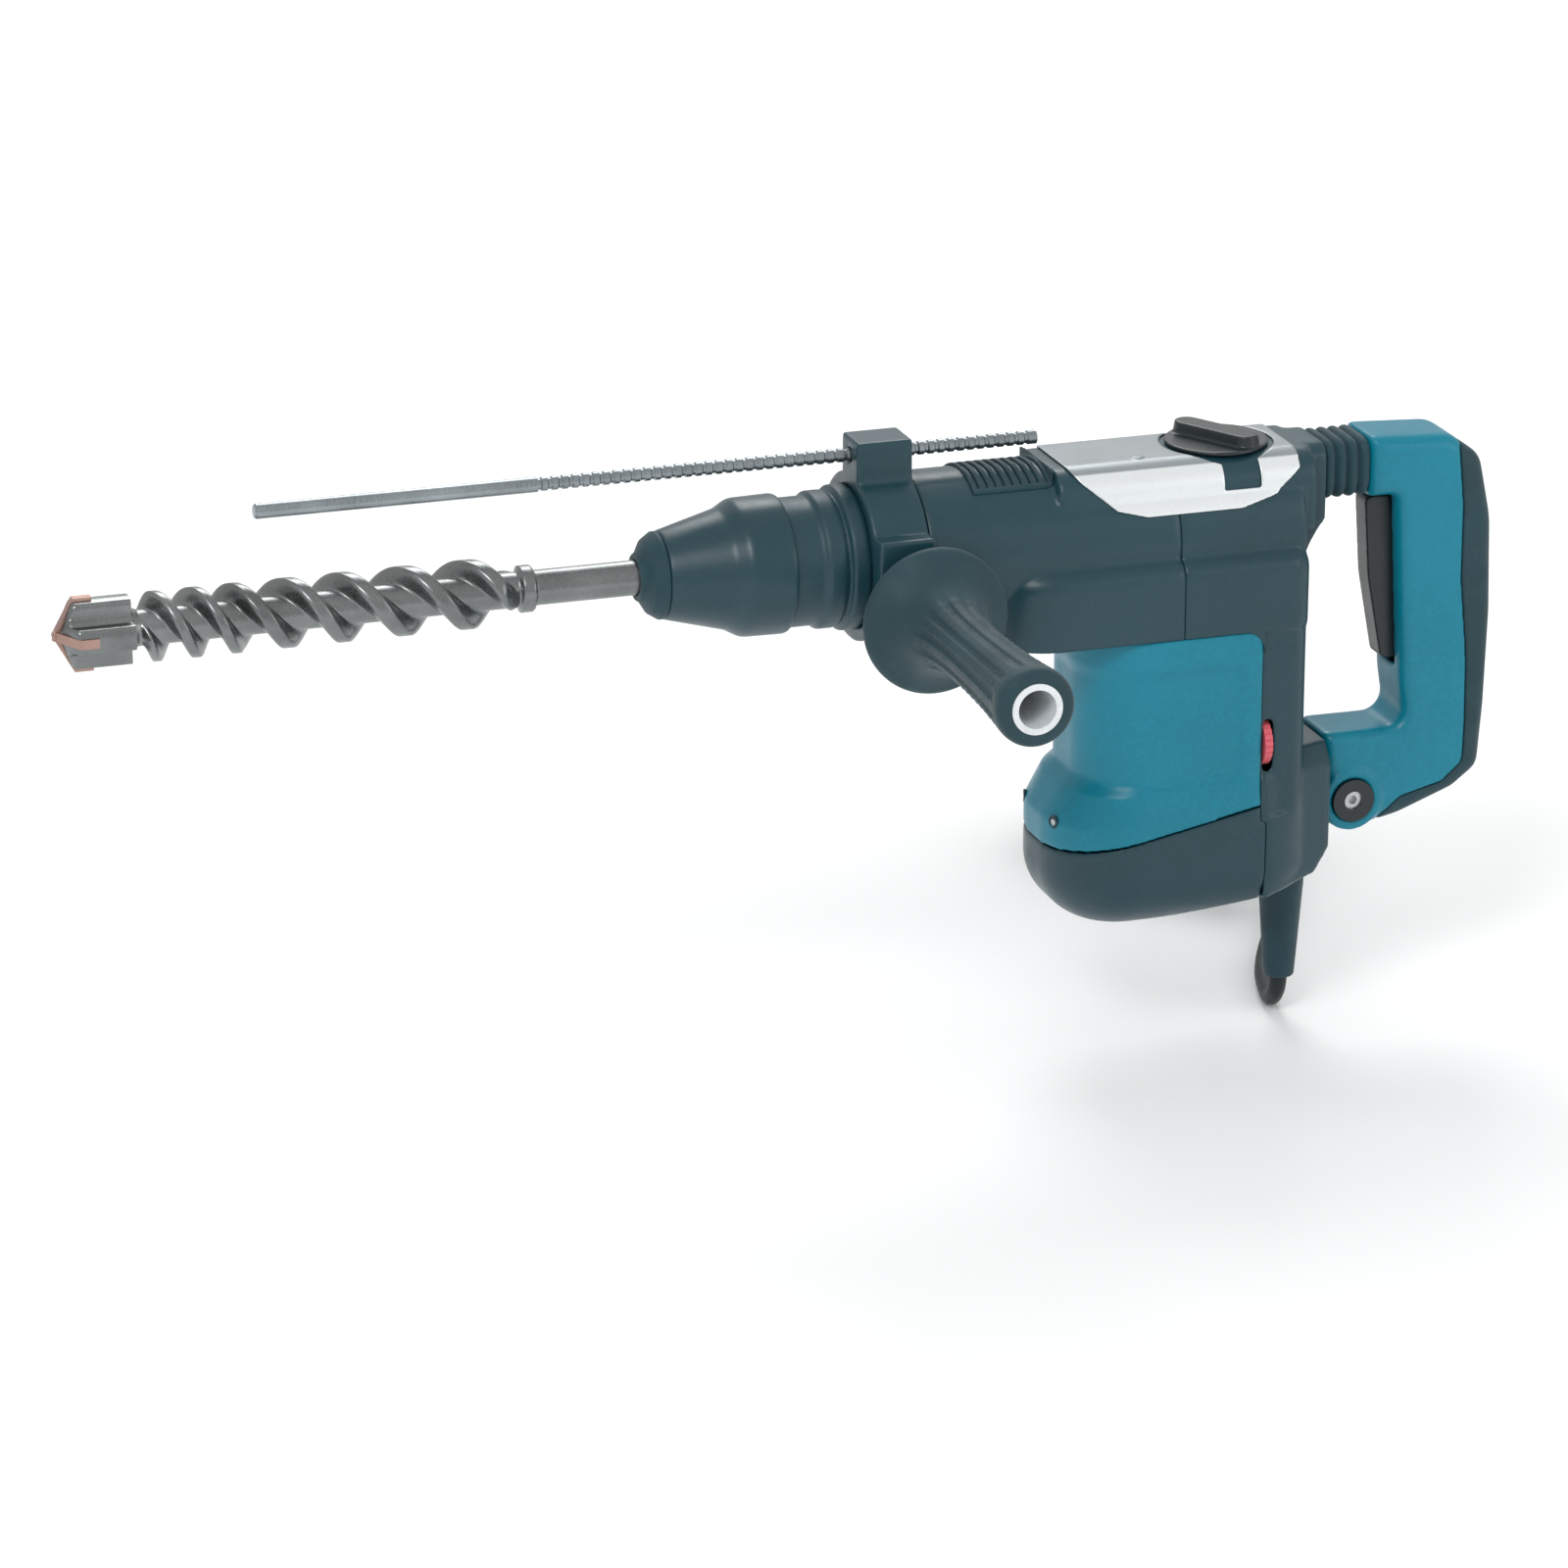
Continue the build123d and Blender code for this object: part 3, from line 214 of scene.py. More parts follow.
def plastic(name, colour, rough=0.42, grain=1500, depth=0.08, gloss=0.45):
    """Moulded plastic: fine spark-eroded grain, slow tone drift and handling marks."""
    n = Nodes(name)
    drift = n.noise(9, 4)
    speckle = n.noise(420, 2)
    tone = n.mixed(n.ramp(drift, 0.35, 0.65, 0, 1), shade(colour, 0.9), shade(colour, 1.08))
    fine = n.mixed(n.ramp(speckle, 0.4, 0.7, 0, 0.35), tone, shade(colour, 1.28))
    n.link(fine, n.shader.inputs["Base Color"])
    marks = n.noise(55, 5, 0.65)
    n.link(n.ramp(marks, 0.3, 0.7, rough - 0.05, rough + 0.09), n.shader.inputs["Roughness"])
    grain_bump = n.bump(n.noise(grain, 2, 0.6), depth, 0.4 * MM)
    n.link(grain_bump, n.shader.inputs["Normal"])
    n.set(Specular_IOR_Level=gloss)
    return n.material


def rubber(name, colour, rough=0.68, grain=1100, depth=0.22):
    """Soft black rubber, slightly dusty, with a coarse leather-like skin."""
    n = Nodes(name)
    dust = n.noise(30, 6, 0.7)
    n.link(n.mixed(n.ramp(dust, 0.45, 0.8, 0, 0.5), shade(colour, 0.9), shade(colour, 1.7)),
           n.shader.inputs["Base Color"])
    n.link(n.ramp(n.noise(70, 4), 0.3, 0.7, rough - 0.07, rough + 0.1),
           n.shader.inputs["Roughness"])
    coarse = n.bump(n.noise(grain, 3, 0.6), depth, 0.5 * MM)
    n.link(coarse, n.shader.inputs["Normal"])
    n.set(Specular_IOR_Level=0.35, Sheen_Weight=0.08, Sheen_Roughness=0.5)
    return n.material


def metal(name, colour, rough=0.32, stretch=(1, 1, 1), lines=600, depth=0.05, stain=0.75):
    """Bare metal with its machining lines and a thin uneven oxide tone."""
    n = Nodes(name)
    patches = n.noise(26, 6, 0.6)
    scratch = n.noise(lines, 3, 0.6, stretch)
    tone = n.mixed(n.ramp(patches, 0.3, 0.72, 0, 1), shade(colour, stain), colour)
    n.link(n.mixed(n.ramp(scratch, 0.35, 0.7, 0, 0.35), tone, shade(colour, 1.2)),
           n.shader.inputs["Base Color"])
    n.link(n.ramp(scratch, 0.3, 0.7, rough - 0.07, rough + 0.12), n.shader.inputs["Roughness"])
    n.link(n.bump(scratch, depth, 0.2 * MM), n.shader.inputs["Normal"])
    n.set(Metallic=1.0)
    return n.material


def silver(name, shaded_top_colour, lit_side_colour):
    """Silver paint on the top plate, with painted shade on its flat top and painted light on its
    side band, so the top is darker than the band.
    """
    n = Nodes(name)
    parts = n.tree.nodes.new("ShaderNodeSeparateXYZ")
    n.link(n.place, parts.inputs["Vector"])
    # Painted shade and light: the flat top is painted darker and the side band lighter, as the
    # light falls on them.
    height = n.ramp(parts.outputs["Z"], 39.2 * MM, 39.9 * MM, 0, 1)
    flakes = n.ramp(n.noise(900, 2), 0.3, 0.7, -0.08, 0.08)
    tone = n.mixed(n.math("ADD", height, flakes), lit_side_colour, shaded_top_colour)
    n.link(tone, n.shader.inputs["Base Color"])
    n.link(n.ramp(n.noise(60, 4), 0.3, 0.7, 0.28, 0.38), n.shader.inputs["Roughness"])
    n.set(Metallic=0.35, Specular_IOR_Level=0.6)
    return n.material


TEAL = (0.002, 0.182, 0.262)
SLATE = (0.009, 0.042, 0.056)
BLACK = (0.008, 0.014, 0.017)

MATERIALS = {
    "teal_plastic": plastic("teal_plastic", TEAL, 0.33, 1300, 0.06, 0.35),
    "dark_plastic": plastic("dark_plastic", SLATE, 0.34, 1200, 0.07, 0.45),
    "knob_plastic": plastic("knob_plastic", BLACK, 0.30, 1500, 0.04, 0.5),
    "black_rubber": rubber("black_rubber", SLATE, 0.62),
    "grip_rubber": rubber("grip_rubber", (0.012, 0.044, 0.056), 0.6, 900, 0.30),
    "cord_rubber": rubber("cord_rubber", BLACK, 0.6, 700, 0.12),
    "white_plastic": plastic("white_plastic", (0.66, 0.69, 0.71), 0.35, 900, 0.04),
    "red_plastic": plastic("red_plastic", (0.62, 0.10, 0.13), 0.30, 1200, 0.04, 0.5),
    "bit_steel": metal("bit_steel", (0.25, 0.262, 0.262), 0.28, (60, 8, 8), 60, 0.10, 0.55),
    "carbide": metal("carbide", (0.50, 0.33, 0.28), 0.42, (4, 4, 4), 160, 0.20, 0.6),
    "steel": metal("steel", (0.52, 0.53, 0.54), 0.30, (30, 4, 4), 60, 0.05),
    "rod_steel": metal("rod_steel", (0.34, 0.38, 0.40), 0.30, (40, 6, 6), 60, 0.06, 0.6),
    "alloy": metal("alloy", (0.62, 0.63, 0.64), 0.42, (3, 3, 3), 300, 0.18),
    "core_iron": metal("core_iron", (0.25, 0.25, 0.26), 0.5, (2, 2, 70), 30, 0.35),
    "copper": metal("copper", (0.72, 0.33, 0.17), 0.34, (5, 5, 60), 40, 0.20),
    "brass": metal("brass", (0.72, 0.55, 0.25), 0.30, (5, 5, 5), 200, 0.05),
    "carbon": rubber("carbon", (0.02, 0.02, 0.02), 0.8, 600, 0.1),
    "dark_casting": plastic("dark_casting", SLATE, 0.42, 500, 0.14),
    # The top plate's dark top colour is painted shade and its pale side colour is painted light.
    "silver_plate": silver("silver_plate", (0.27, 0.30, 0.315), (0.76, 0.79, 0.80)),
}
SLOT_OF = {part["node"]: part["material_slot"] for part in frame["record"]["subparts"]}


def dress(piece, slot):
    """Gives a piece the one material of its slot."""
    piece.data.materials.clear()
    piece.data.materials.append(MATERIALS[slot])


for node_name, node in frame["nodes"].items():
    dress(node, SLOT_OF[node_name])


# ---- Mains cord --------------------------------------------------------------------------
CORD_R = 4.75
LAYER = 2 * CORD_R
CORD_Z = FLOOR_Z / MM + CORD_R + 0.05
COIL_X, COIL_Y = 282.0, 262.0
COIL_R, COIL_WRAPS, COIL_TURNS = 52.0, 4, 14
COIL_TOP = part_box("cord_coil")[1].z / MM
TAIL_R = COIL_R + CORD_R
CORD_ROUTE = [
    (247, 0, -258), (247, 0.8, -265), (247.4, 5, -271.5), (248.4, 13, CORD_Z),
    (252, 29, CORD_Z), (262, 58, CORD_Z), (283, 98, CORD_Z), (311, 146, CORD_Z),
    (336, 198, CORD_Z), (348.25, 254, CORD_Z),
]
TAIL_START, TAIL_END = 160, 250
STEPS_PER_TURN = 24


def on_coil(angle, radius, height):
    """A point of the cord at an angle in degrees and a radius about the coil's centre."""
    turn = math.radians(angle)
    return (COIL_X + radius * math.cos(turn), COIL_Y + radius * math.sin(turn), height)


def wrap_place(turn):
    """Radius and height of one of the coil's turns, wound in and out layer by layer."""
    layer, wrap = divmod(turn, COIL_WRAPS)
    from_outside = wrap if layer % 2 == 0 else COIL_WRAPS - 1 - wrap
    radius = COIL_R + LAYER * ((COIL_WRAPS - 1) / 2 - from_outside)
    return radius, CORD_Z + LAYER * layer


def coil_points():
    """The coil's turns: each keeps its radius and steps over to the next near its end."""
    points = []
    last = COIL_TURNS * STEPS_PER_TURN + int(TAIL_START / 360 * STEPS_PER_TURN)
    for step in range(1, last):
        turn, part = divmod(step / STEPS_PER_TURN, 1)
        here, following = wrap_place(int(turn)), wrap_place(int(turn) + 1)
        share = min(max((part - 0.86) / 0.14, 0), 1)
        share = share * share * (3 - 2 * share)
        radius, height = (a + (b - a) * share for a, b in zip(here, following))
        if turn >= COIL_TURNS:
            radius, height = TAIL_R, COIL_TOP - CORD_R
        points.append(on_coil(part * 360, radius, height))
    return points


TAIL_ROUTE = [
    on_coil(TAIL_START, TAIL_R, COIL_TOP - CORD_R), on_coil(182, TAIL_R, COIL_TOP - 1.5),
    on_coil(204, TAIL_R, COIL_TOP + 7), on_coil(226, TAIL_R, COIL_TOP + 14),
    on_coil(TAIL_END, TAIL_R, COIL_TOP + 17),
]


def add_cord():
    """The whole lead on one smooth curve, from the cord guard to the plug."""
    points = CORD_ROUTE + coil_points() + TAIL_ROUTE
    data = bpy.data.curves.new("mains_cord", "CURVE")
    data.dimensions = "3D"
    spline = data.splines.new("NURBS")
    spline.points.add(len(points) - 1)
    for point, place in zip(spline.points, points):
        point.co = (*(Vector(place) * MM), 1)
    spline.order_u = 3
    spline.use_endpoint_u = True
    data.resolution_u = 4
    data.bevel_depth, data.bevel_resolution = CORD_R * MM, 5
    data.use_fill_caps = True
    lead = bpy.data.objects.new("mains_cord", data)
    bpy.context.scene.collection.objects.link(lead)
    data.materials.append(MATERIALS["cord_rubber"])
    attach(lead, "housing")
    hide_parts("cord_tube", "cord_coil")


add_cord()


# ---- Mesh helpers ------------------------------------------------------------------------
def add_mesh(name, points, faces, slot, body, smooth=True):
    """A new piece from points in millimetres, riding on a CAD body."""
    data = bpy.data.meshes.new(name)
    data.from_pydata([tuple(point) for point in np.asarray(points) * MM], [], faces)
    data.validate()
    data.update()
    if smooth:
        data.shade_smooth()
    piece = bpy.data.objects.new(name, data)
    bpy.context.scene.collection.objects.link(piece)
    dress(piece, slot)
    if body:
        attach(piece, body)
    return piece


def grid_faces(rows, columns, closed_rows=False):
    """Quads of a grid of rings: each row is a closed ring of columns points."""
    faces = []
    for row in range(rows if closed_rows else rows - 1):
        here, above = row * columns, (row + 1) % rows * columns
        for column in range(columns):
            beside = (column + 1) % columns
            faces.append((here + column, here + beside, above + beside, above + column))
    return faces


def applied(piece):
    """Bakes a piece's modifiers into its mesh."""
    view = piece.evaluated_get(bpy.context.evaluated_depsgraph_get())
    final = bpy.data.meshes.new_from_object(view)
    piece.modifiers.clear()
    old, piece.data = piece.data, final
    bpy.data.meshes.remove(old)
    return piece


SEAM_REACH = 2.2  # mm from a parting line


def eased(co, edges, passes, seams):
    """Points moved towards their neighbours again and again, which rounds every edge.

    Near a seam, (axis, place), points keep their distance along that axis.
    """
    first, second = edges[:, 0], edges[:, 1]
    count = np.bincount(edges.ravel(), minlength=len(co))[:, None]
    free = np.ones_like(co)
    for axis, place in seams:
        free[np.abs(co[:, axis] - place * MM) < SEAM_REACH * MM, axis] = 0
    for _ in range(passes):
        total = np.stack([np.bincount(first, co[second, k], len(co))
                          + np.bincount(second, co[first, k], len(co)) for k in range(3)], 1)
        co = co + 0.5 * (total / count - co) * free
    return co


def moulded(node_name, voxel, passes, seams=(), keep=0.3, shape=None):
    """A CAD node's shape again with moulded, rounded edges, as a fine even mesh."""
    node = frame["nodes"][node_name]
    piece = bpy.data.objects.new(node_name + "_moulded", node.data.copy())
    bpy.context.scene.collection.objects.link(piece)
    remesh = piece.modifiers.new("remesh", "REMESH")
    remesh.mode, remesh.voxel_size = "VOXEL", voxel * MM
    applied(piece)
    data = piece.data
    co = np.zeros(len(data.vertices) * 3)
    data.vertices.foreach_get("co", co)
    edges = np.zeros(len(data.edges) * 2, dtype=np.int64)
    data.edges.foreach_get("vertices", edges)
    co = eased(co.reshape(-1, 3), edges.reshape(-1, 2), passes, seams)
    if shape:
        co = shape(co / MM) * MM
    data.vertices.foreach_set("co", co.ravel())
    thin = piece.modifiers.new("thin", "DECIMATE")
    thin.ratio = keep
    applied(piece)
    piece.data.shade_smooth()
    dress(piece, SLOT_OF[node_name])
    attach(piece, node["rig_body"])
    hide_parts(node_name)
    return piece


def smooth_step(value, low, high):
    """0 below low, 1 above high, and a smooth curve between them."""
    share = np.clip((value - low) / (high - low), 0, 1)
    return share * share * (3 - 2 * share)


# ---- Plastic and rubber shells -----------------------------------------------------------
SEAM_X = 170
COLUMN_FRONT, BLOCK_FRONT = 214, 217
BULGE_FLOOR = -48
BLOCK_SEAM_Z = -152
HOUSING_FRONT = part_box("front_housing")[0].x / MM
HOUSING_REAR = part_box("bellows")[0].x / MM

# The motor housing's front corners in plan, and the panel pressed into its outer skin.
CORNER_X, CORNER_Y, CORNER_R = 158.0, 9.0, 38.0
PANEL_DEPTH, INNER_R = 2.1, 35.5


def pressed_panel(co):
    """The shallow panel with soft edges that wraps the motor housing's sides and front."""
    x, y, z = co.T
    ahead, aside = np.minimum(x - CORNER_X, 0), np.maximum(np.abs(y) - CORNER_Y, 0)
    reach = np.hypot(ahead, aside)
    share = (smooth_step(-x, -206, -197) * smooth_step(z, -133, -124)
             * smooth_step(-z, 62, 72))
    pressed = reach - share * np.maximum(reach - (CORNER_R - PANEL_DEPTH), 0)
    scale = np.where(reach > INNER_R, pressed / np.maximum(reach, 1), 1)
    co[:, 0] = np.where(ahead < 0, CORNER_X + ahead * scale, x)
    co[:, 1] = np.where(aside > 0, np.sign(y) * (CORNER_Y + aside * scale), y)
    return co


# Each shell: voxel size, smoothing passes, parting lines kept in place, share of faces kept.
SHELLS = {
    "front_housing": (0.95, 16, [(0, HOUSING_FRONT), (0, SEAM_X), (2, BULGE_FLOOR)], 0.3),
    "rear_housing": (0.95, 16, [(0, SEAM_X), (0, COLUMN_FRONT), (0, BLOCK_FRONT),
                                (0, HOUSING_REAR), (2, BULGE_FLOOR), (2, BLOCK_SEAM_Z)], 0.25),
    "motor_housing": (0.95, 14, [(0, COLUMN_FRONT), (2, BULGE_FLOOR)], 0.3),
    "motor_cover": (0.95, 12, [(0, COLUMN_FRONT), (0, BLOCK_FRONT)], 0.3),
    "handle_shell": (0.9, 12, [], 0.3),
    "handle_overmould": (0.9, 10, [], 0.35),
    "side_handle_base": (0.9, 9, [], 0.3),
    "trigger": (0.6, 10, [], 0.8),
    "mode_knob": (0.5, 8, [], 0.4),
    "release_sleeve": (0.8, 7, [], 0.35),
    "barrel_nose": (0.9, 4, [(0, HOUSING_FRONT)], 0.35),
    "cord_guard": (0.6, 5, [], 0.5),
    "top_plate": (0.45, 7, [], 0.35),
    "ridge_pad": (0.5, 3, [], 0.5),
}
SHAPES = {"motor_housing": pressed_panel}
for shell_name, (voxel, passes, seams, keep) in SHELLS.items():
    moulded(shell_name, voxel, passes, seams, keep, SHAPES.get(shell_name))


# ---- Drill bit ---------------------------------------------------------------------------
BIT_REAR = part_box("drill_bit")[1].x / MM
HEAD_REAR, FLUTE_START, FLUTE_END = -372.0, -368.0, -176.0
STRETCHES = ((-314.7, 40.8), (-258.0, 56.6), (FLUTE_END, 65.0))  # (end x, lead)
CORE_R, CREST_R, SHANK_R = 9.2, 17.6, 9.0
HEAD_FRONT, HEAD_CORE_R, HEAD_LOBE, HEAD_NECK_R = -408.5, 11.2, 6.3, 11.0
COLLAR_START, COLLAR_END, COLLAR_R = -175, -163, 12.0
GROOVE_START, GROOVE_END, GROOVE_HALF, GROOVE_FLOOR = -63, -36, 3.3, 6.9
BIT_SIDES = 96


def flute_turn(x):
    """How far the two flutes have turned at x, in radians."""
    turn, start = 0.0, FLUTE_START
    for end, lead in STRETCHES:
        turn += 2 * math.pi * (min(max(x, start), end) - start) / lead
        start = end
    return turn


def bit_radius(x, angle):
    """Radius of the drill at x, for an array of angles about its axis."""
    if x < HEAD_REAR:
        lobe = 0.5 + 0.5 * np.cos(4 * angle)
        body = HEAD_CORE_R + HEAD_LOBE * smooth_step(lobe, 0.12, 0.62)
        cone = 3 + 14.8 * smooth_step(x, HEAD_FRONT, -400.0)
        return np.minimum(body, cone)
    core = np.full_like(angle, CORE_R)
    if x < FLUTE_START:
        core = core + (HEAD_NECK_R - CORE_R) * (FLUTE_START - x) / (FLUTE_START - HEAD_REAR)
    if x > COLLAR_START:
        ring = COLLAR_R * (smooth_step(x, COLLAR_START, COLLAR_START + 3)
                           - smooth_step(x, COLLAR_END - 3, COLLAR_END))
        core = np.maximum(np.full_like(angle, SHANK_R), ring)
    share = smooth_step(x, FLUTE_START - 1, FLUTE_START + 7)
    share = share * (1 - smooth_step(x, FLUTE_END - 9, FLUTE_END + 3))
    wave = 0.5 + 0.5 * np.cos(2 * (angle - flute_turn(x)))
    crest = smooth_step(wave, 0.42, 0.93)
    radius = core + (CREST_R - CORE_R) * crest * share
    if GROOVE_START < x < GROOVE_END:
        groove = np.abs(np.cos(angle)) * radius < GROOVE_HALF
        floor = GROOVE_FLOOR / np.maximum(np.abs(np.sin(angle)), 0.2)
        radius = np.where(groove, np.minimum(radius, floor), radius)
    return radius


def add_drill_bit():
    """The drill's steel: lobed head, two rounded flutes, collar and grooved shank."""
    angle = np.linspace(0, 2 * math.pi, BIT_SIDES, endpoint=False)
    stations = np.concatenate([
        np.arange(HEAD_FRONT, HEAD_REAR, 1.1), [HEAD_REAR - 0.15],
        np.arange(HEAD_REAR, -160, 0.8), np.arange(-160, -64, 6), np.arange(-64, -35, 0.9),
        [BIT_REAR - 1.5, BIT_REAR],
    ])
    points = []
    for x in stations:
        radius = bit_radius(x, angle)
        if x == BIT_REAR:
            radius = radius - 1.5
        points += [(x, r * math.cos(a), r * math.sin(a)) for r, a in zip(radius, angle)]
    rows = len(stations)
    faces = grid_faces(rows, BIT_SIDES)
    points += [(stations[0] - 0.4, 0, 0), (BIT_REAR, 0, 0)]
    for side in range(BIT_SIDES):
        beside = (side + 1) % BIT_SIDES
        faces.append((len(points) - 2, beside, side))
        last = (rows - 1) * BIT_SIDES
        faces.append((len(points) - 1, last + side, last + beside))
    bit = add_mesh("fluted_drill", points, faces, "bit_steel", "bit")
    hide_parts("drill_bit")


add_drill_bit()


# ---- Side grip ---------------------------------------------------------------------------
GRIP_X, GRIP_Z = 28.0, -18.0
GRIP_PROFILE = (
    (-58.3, 12.8), (-59.2, 25), (-59.4, 35.5), (-61, 38.2), (-63.2, 38.4), (-66, 36.6),
    (-70, 31.5), (-76, 26.0), (-84, 21.6), (-92, 19.2), (-102, 17.6), (-116, 16.9),
    (-132, 16.8), (-150, 17.2), (-168, 17.9), (-182, 18.8), (-194, 19.7), (-201, 20.3),
    (-206, 19.9), (-208.4, 17.6), (-208.5, 13.2),
)
GUARD_R = 38.4
RIB_START, RIB_END = -88.0, -200.0
RIBS, RIB_DEPTH = 12, 1.25
BAND_PITCH, BAND_DEPTH = 7.0, 0.45


def catmull(points, steps):
    """A smooth line through points, steps points to each span."""
    table = np.array(points)
    padded = np.vstack([2 * table[0] - table[1], table, 2 * table[-1] - table[-2]])
    line = []
    for i in range(1, len(table)):
        a, b, c, d = padded[i - 1:i + 3]
        for t in np.arange(steps) / steps:
            line.append(0.5 * (2 * b + (c - a) * t + (2 * a - 5 * b + 4 * c - d) * t * t
                               + (3 * b - a - 3 * c + d) * t ** 3))
    return np.array(line + [table[-1]])


def add_side_grip():
    """The rubber grip: a bell-shaped hand guard and long ribs, over a plastic liner."""
    far_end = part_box("side_grip")[0].y / MM
    rows, sides = catmull(GRIP_PROFILE, 5), 144
    angle = np.linspace(0, 2 * math.pi, sides, endpoint=False)
    points = []
    for y, r in rows:
        ends = smooth_step(-y, -RIB_START - 6, -RIB_START + 8)
        ends = ends * (1 - smooth_step(-y, -RIB_END - 8, -RIB_END + 2))
        pads = smooth_step(np.cos(angle * RIBS), -0.55, -0.15) * RIB_DEPTH - RIB_DEPTH
        bands = BAND_DEPTH * ends * (0.5 - 0.5 * np.cos(2 * math.pi * y / BAND_PITCH))
        radius = np.minimum(r + pads * ends - bands, GUARD_R)
        points += [(GRIP_X + q * math.cos(a), max(y, far_end), GRIP_Z + q * math.sin(a))
                   for q, a in zip(radius, angle)]
    bore = [(-208.5, 13.15), (-120, 13.15), (-119.5, 13.1), (-58.3, 12.75)]
    for y, r in bore:
        points += [(GRIP_X + r * math.cos(a), y, GRIP_Z + r * math.sin(a)) for a in angle]
    count = len(rows) + len(bore)
    grip = add_mesh("ribbed_grip", points, grid_faces(count, sides, True), "grip_rubber",
                    "side_grip")
    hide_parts("side_grip")


add_side_grip()


# ---- Bellows and springs -----------------------------------------------------------------
FOLD_DEPTH, FOLD_ROOT, INNER_STEP = 3.0, 3.1, 5.0


def rounded_ring(half_y, half_z, sides):
    """Points of a rounded rectangle about the origin, as (y, z) rows."""
    n, ring = 4.0, []
    for k in range(sides):
        a = 2 * math.pi * (k + 0.5) / sides
        c, s = math.cos(a), math.sin(a)
        scale = (abs(c / half_y) ** n + abs(s / half_z) ** n) ** (-1 / n)
        ring.append((c * scale, s * scale))
    return ring


def add_bellows():
    """The folded rubber bellows between housing and handle."""
    low, high = (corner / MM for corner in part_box("bellows"))
    middle_z = (low.z + high.z) / 2
    folds, per_fold, sides = 4, 14, 72
    count = folds * per_fold
    points = []
    half_y, half_z = high.y, (high.z - low.z) / 2
    for step in range(count + 1):
        x = low.x + (high.x - low.x) * step / count
        wave = abs(math.sin(math.pi * folds * step / count)) ** 0.7
        grow = FOLD_DEPTH * wave
        for y, z in rounded_ring(half_y - FOLD_ROOT + grow, half_z - FOLD_ROOT + grow, sides):
            points.append((x, y, middle_z + z))
    for x in (high.x, low.x):
        for y, z in rounded_ring(half_y - INNER_STEP, half_z - INNER_STEP, sides):
            points.append((x, y, middle_z + z))
    piece = add_mesh("rubber_bellows", points, grid_faces(count + 3, sides, True),
                     "black_rubber", None)
    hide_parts("bellows")
    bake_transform(piece)


def coil_mesh(name, start, radius, wire, pitch, length, body):
    """A spring along X as a mesh tube of round wire."""
    per_turn, around = 32, 10
    steps = int(length / pitch * per_turn)
    points = []
    for step in range(steps + 1):
        a = 2 * math.pi * step / per_turn
        out = Vector((0, math.cos(a), math.sin(a)))
        centre = Vector(start) + Vector((length * step / steps, 0, 0)) + out * radius
        for k in range(around):
            b = 2 * math.pi * k / around
            points.append(centre + out * wire * math.cos(b) + Vector((wire * math.sin(b), 0, 0)))
    faces = grid_faces(steps + 1, around)
    faces.append(tuple(range(around)))
    faces.append(tuple(range(steps * around + around - 1, steps * around - 1, -1)))
    return add_mesh(name, points, faces, "steel", body)


SLEEVE_WIRE, SLEEVE_COIL_R, SLEEVE_PITCH = 0.9, 15.6, 3.4
HANDLE_WIRE, HANDLE_COIL_R, HANDLE_PITCH = 1.1, 8.0, 6.2


def add_springs():
    """The release sleeve's spring, on the spindle, and the handle's spring."""
    low, high = (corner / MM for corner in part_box("release_spring"))
    spring = coil_mesh("sleeve_spring", (low.x + SLEEVE_WIRE, 0, 0), SLEEVE_COIL_R, SLEEVE_WIRE,
                       SLEEVE_PITCH, high.x - low.x - 2 * SLEEVE_WIRE, "spindle")
    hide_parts("release_spring")
    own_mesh(spring)
    low, high = (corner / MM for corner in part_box("handle_spring"))
    middle = (low + high) / 2
    spring = coil_mesh("damping_spring", (low.x + HANDLE_WIRE, 0, middle.z), HANDLE_COIL_R,
                       HANDLE_WIRE, HANDLE_PITCH, high.x - low.x - 2 * HANDLE_WIRE, None)
    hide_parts("handle_spring")
    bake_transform(spring)


add_bellows()
add_springs()


# ---- Small parts on the housing ----------------------------------------------------------
def add_prism(name, outline, low, high, slot, body, plane="xz"):
    """A flat piece: an outline in one plane, from low to high along the third axis."""
    points = []
    for depth in (low, high):
        for u, v in outline:
            points.append((u, depth, v) if plane == "xz" else (u, v, depth))
    count = len(outline)
    sides = [(i, (i + 1) % count, (i + 1) % count + count, i + count) for i in range(count)]
    faces = sides + [tuple(range(count - 1, -1, -1)), tuple(range(count, 2 * count))]
    return add_mesh(name, points, faces, slot, body, smooth=False)


def seat(node_name, place, way):
    """Where a line from a place along a direction meets a node's surface, and its normal."""
    data = frame["nodes"][node_name].data
    skin = BVHTree.FromPolygons([vertex.co for vertex in data.vertices],
                                [face.vertices for face in data.polygons])
    point, normal, _, _ = skin.ray_cast(Vector(place) * MM, Vector(way))
    return point / MM, normal


def add_lathe(name, place, normal, profile, slot, body, sides=48):
    """A turned piece from (height, radius) rows, seated at a place along a normal."""
    turn = normal.to_track_quat("Z", "Y")
    points = []
    for height, radius in profile:
        for k in range(sides):
            a = 2 * math.pi * k / sides
            local = Vector((radius * math.cos(a), radius * math.sin(a), height))
            points.append(Vector(place) + turn @ local)
    faces = grid_faces(len(profile), sides)
    faces.append(tuple(range(sides - 1, -1, -1)))
    faces.append(tuple(range((len(profile) - 1) * sides, len(profile) * sides)))
    return add_mesh(name, points, faces, slot, body)


MOTOR_SIDE, WEB_R = 47.0, 12.0


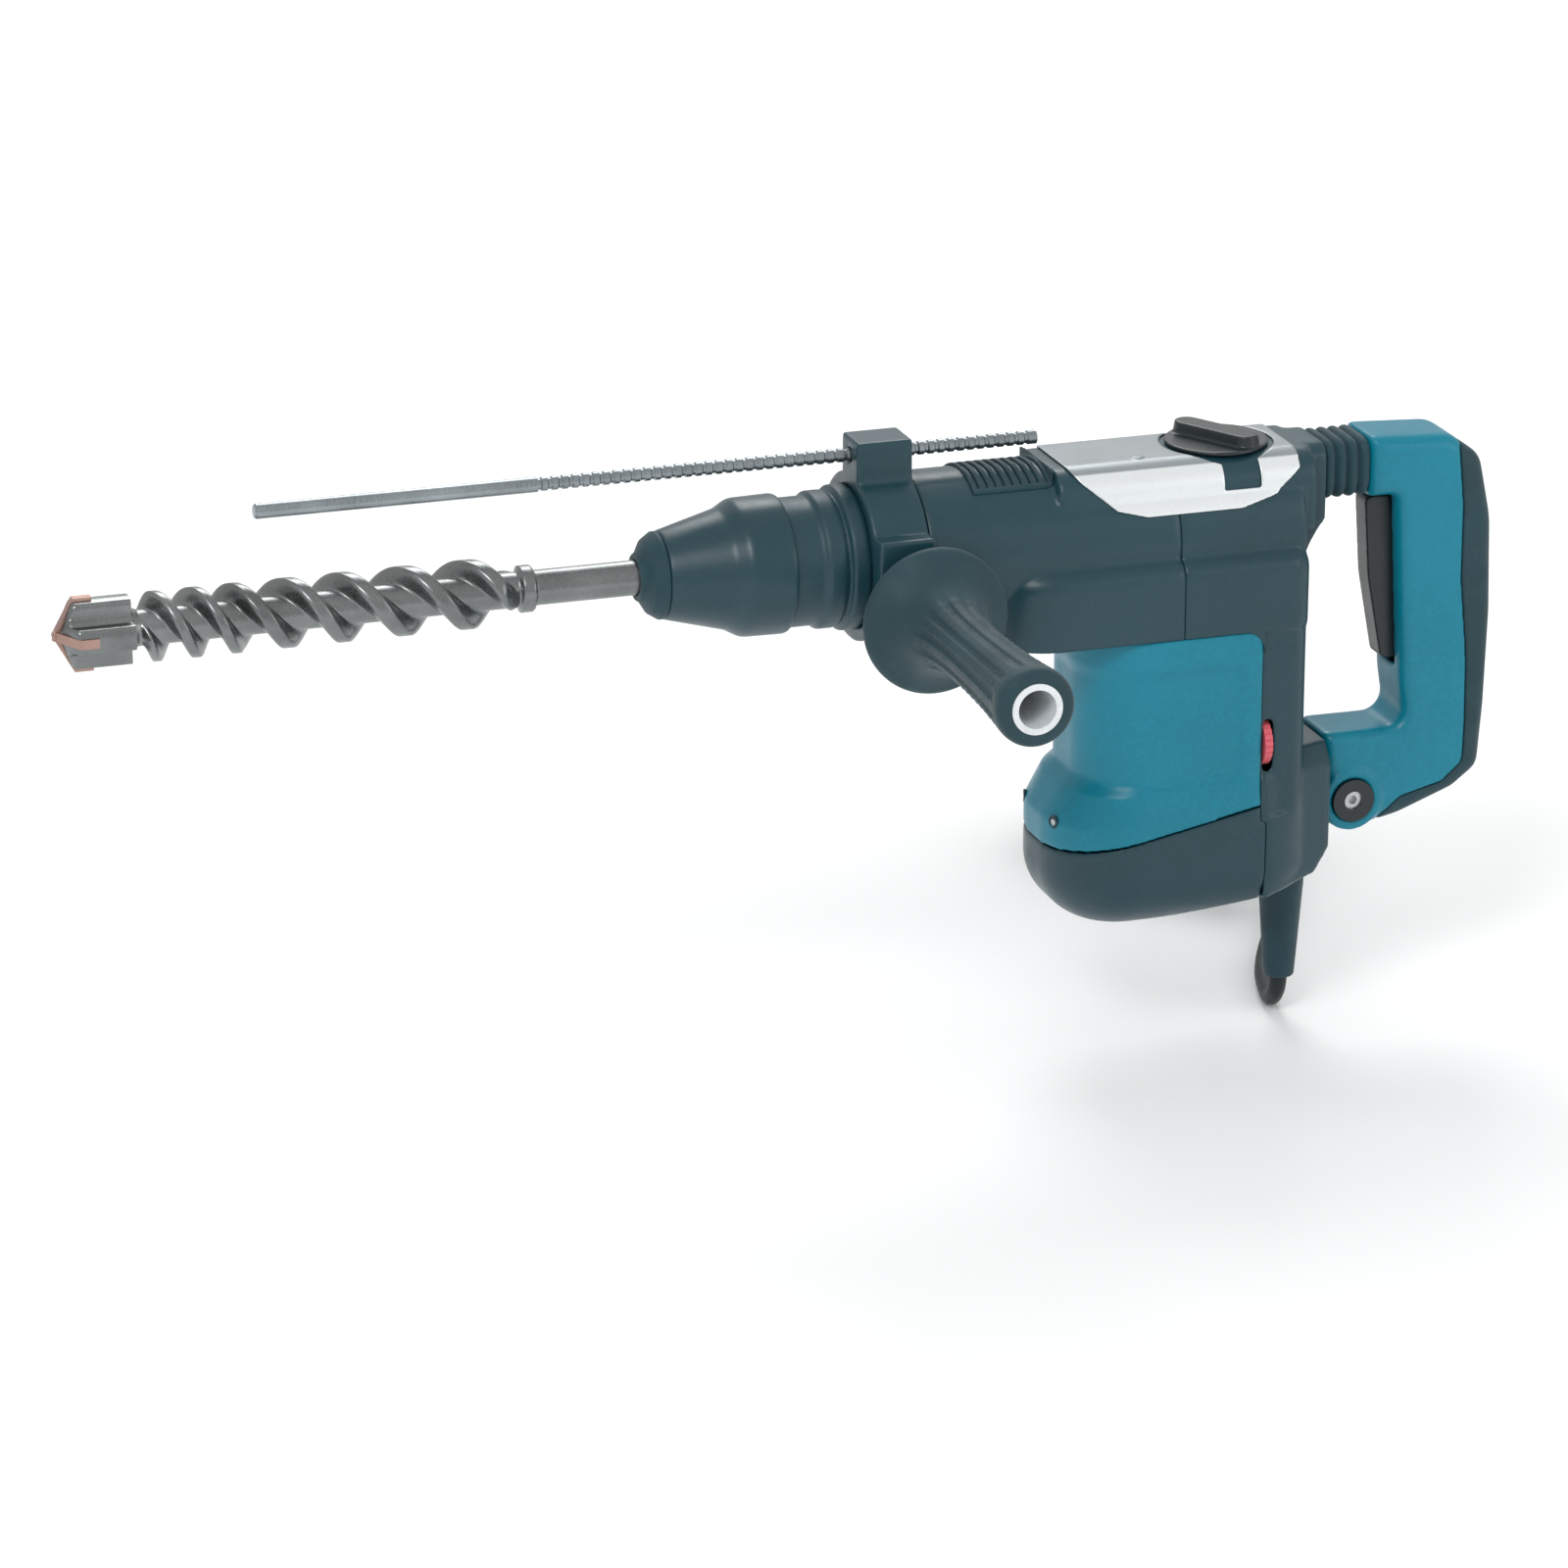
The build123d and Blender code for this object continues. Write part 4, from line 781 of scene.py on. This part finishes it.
def add_corner_webs():
    """The dark plastic that rounds off the motor housing's upper rear corner."""
    corner_x, corner_z = COLUMN_FRONT + 0.6, BULGE_FLOOR + 0.6
    middle = (corner_x - WEB_R, corner_z - WEB_R)
    outline = [(corner_x, corner_z)] + [
        (middle[0] + WEB_R * math.sin(a), middle[1] + WEB_R * math.cos(a))
        for a in np.linspace(0, math.pi / 2, 17)]
    for side, label in ((-1, "left"), (1, "right")):
        ends = sorted((side * (MOTOR_SIDE - 0.8), side * (MOTOR_SIDE + 0.3)))
        add_prism("corner_web_" + label, outline, *ends, "dark_plastic", "housing")


FLARE_SCREW_X, FLARE_SCREW_Z = 108.5, -149
# Rows of (height above the surface, radius).
# Painted shade: the dark disc level with the flare stands for the screw hole's shaded recess.
HOLE_SHADE_DISC = ((-1.2, 3.5), (0.02, 3.5), (0.12, 3.3), (0.12, 2.9), (-0.1, 2.7))
SCREW_HEAD = ((-0.4, 1.7), (0.05, 1.7), (0.15, 1.4), (0.15, 0.8), (0.0, 0.6))


def add_screws():
    """A flat dark disc of painted shade for the screw hole, level with the flare, with a screw
    head, on each side of the motor housing.
    """
    for side, label in ((-1, "left"), (1, "right")):
        outside = (FLARE_SCREW_X, side * 90, FLARE_SCREW_Z)
        point, normal = seat("motor_housing", outside, (0, -side, 0))
        add_lathe("flare_hole_shade_" + label, point, normal, HOLE_SHADE_DISC, "black_rubber", "housing")
        add_lathe("flare_screw_" + label, point, normal, SCREW_HEAD, "steel", "housing")


KNOB_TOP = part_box("mode_knob")[1].z / MM
KNOB_CENTRE = (204.0, 0.0)
KNOB_ANGLE = -60.0


def add_pointer():
    """The plain pointer on the mode knob."""
    turn = math.radians(KNOB_ANGLE)
    along = Vector((math.cos(turn), math.sin(turn)))
    across = Vector((-math.sin(turn), math.cos(turn)))
    outline = []
    for u, v in ((22.5, 0), (16.5, 3.1), (16.5, -3.1)):
        place = Vector(KNOB_CENTRE) + along * u + across * v
        outline.append((place.x, place.y))
    add_prism("knob_pointer", outline, KNOB_TOP - 0.3, KNOB_TOP - 0.02, "white_plastic",
              "knob", "xy")


add_corner_webs()
add_screws()
add_pointer()
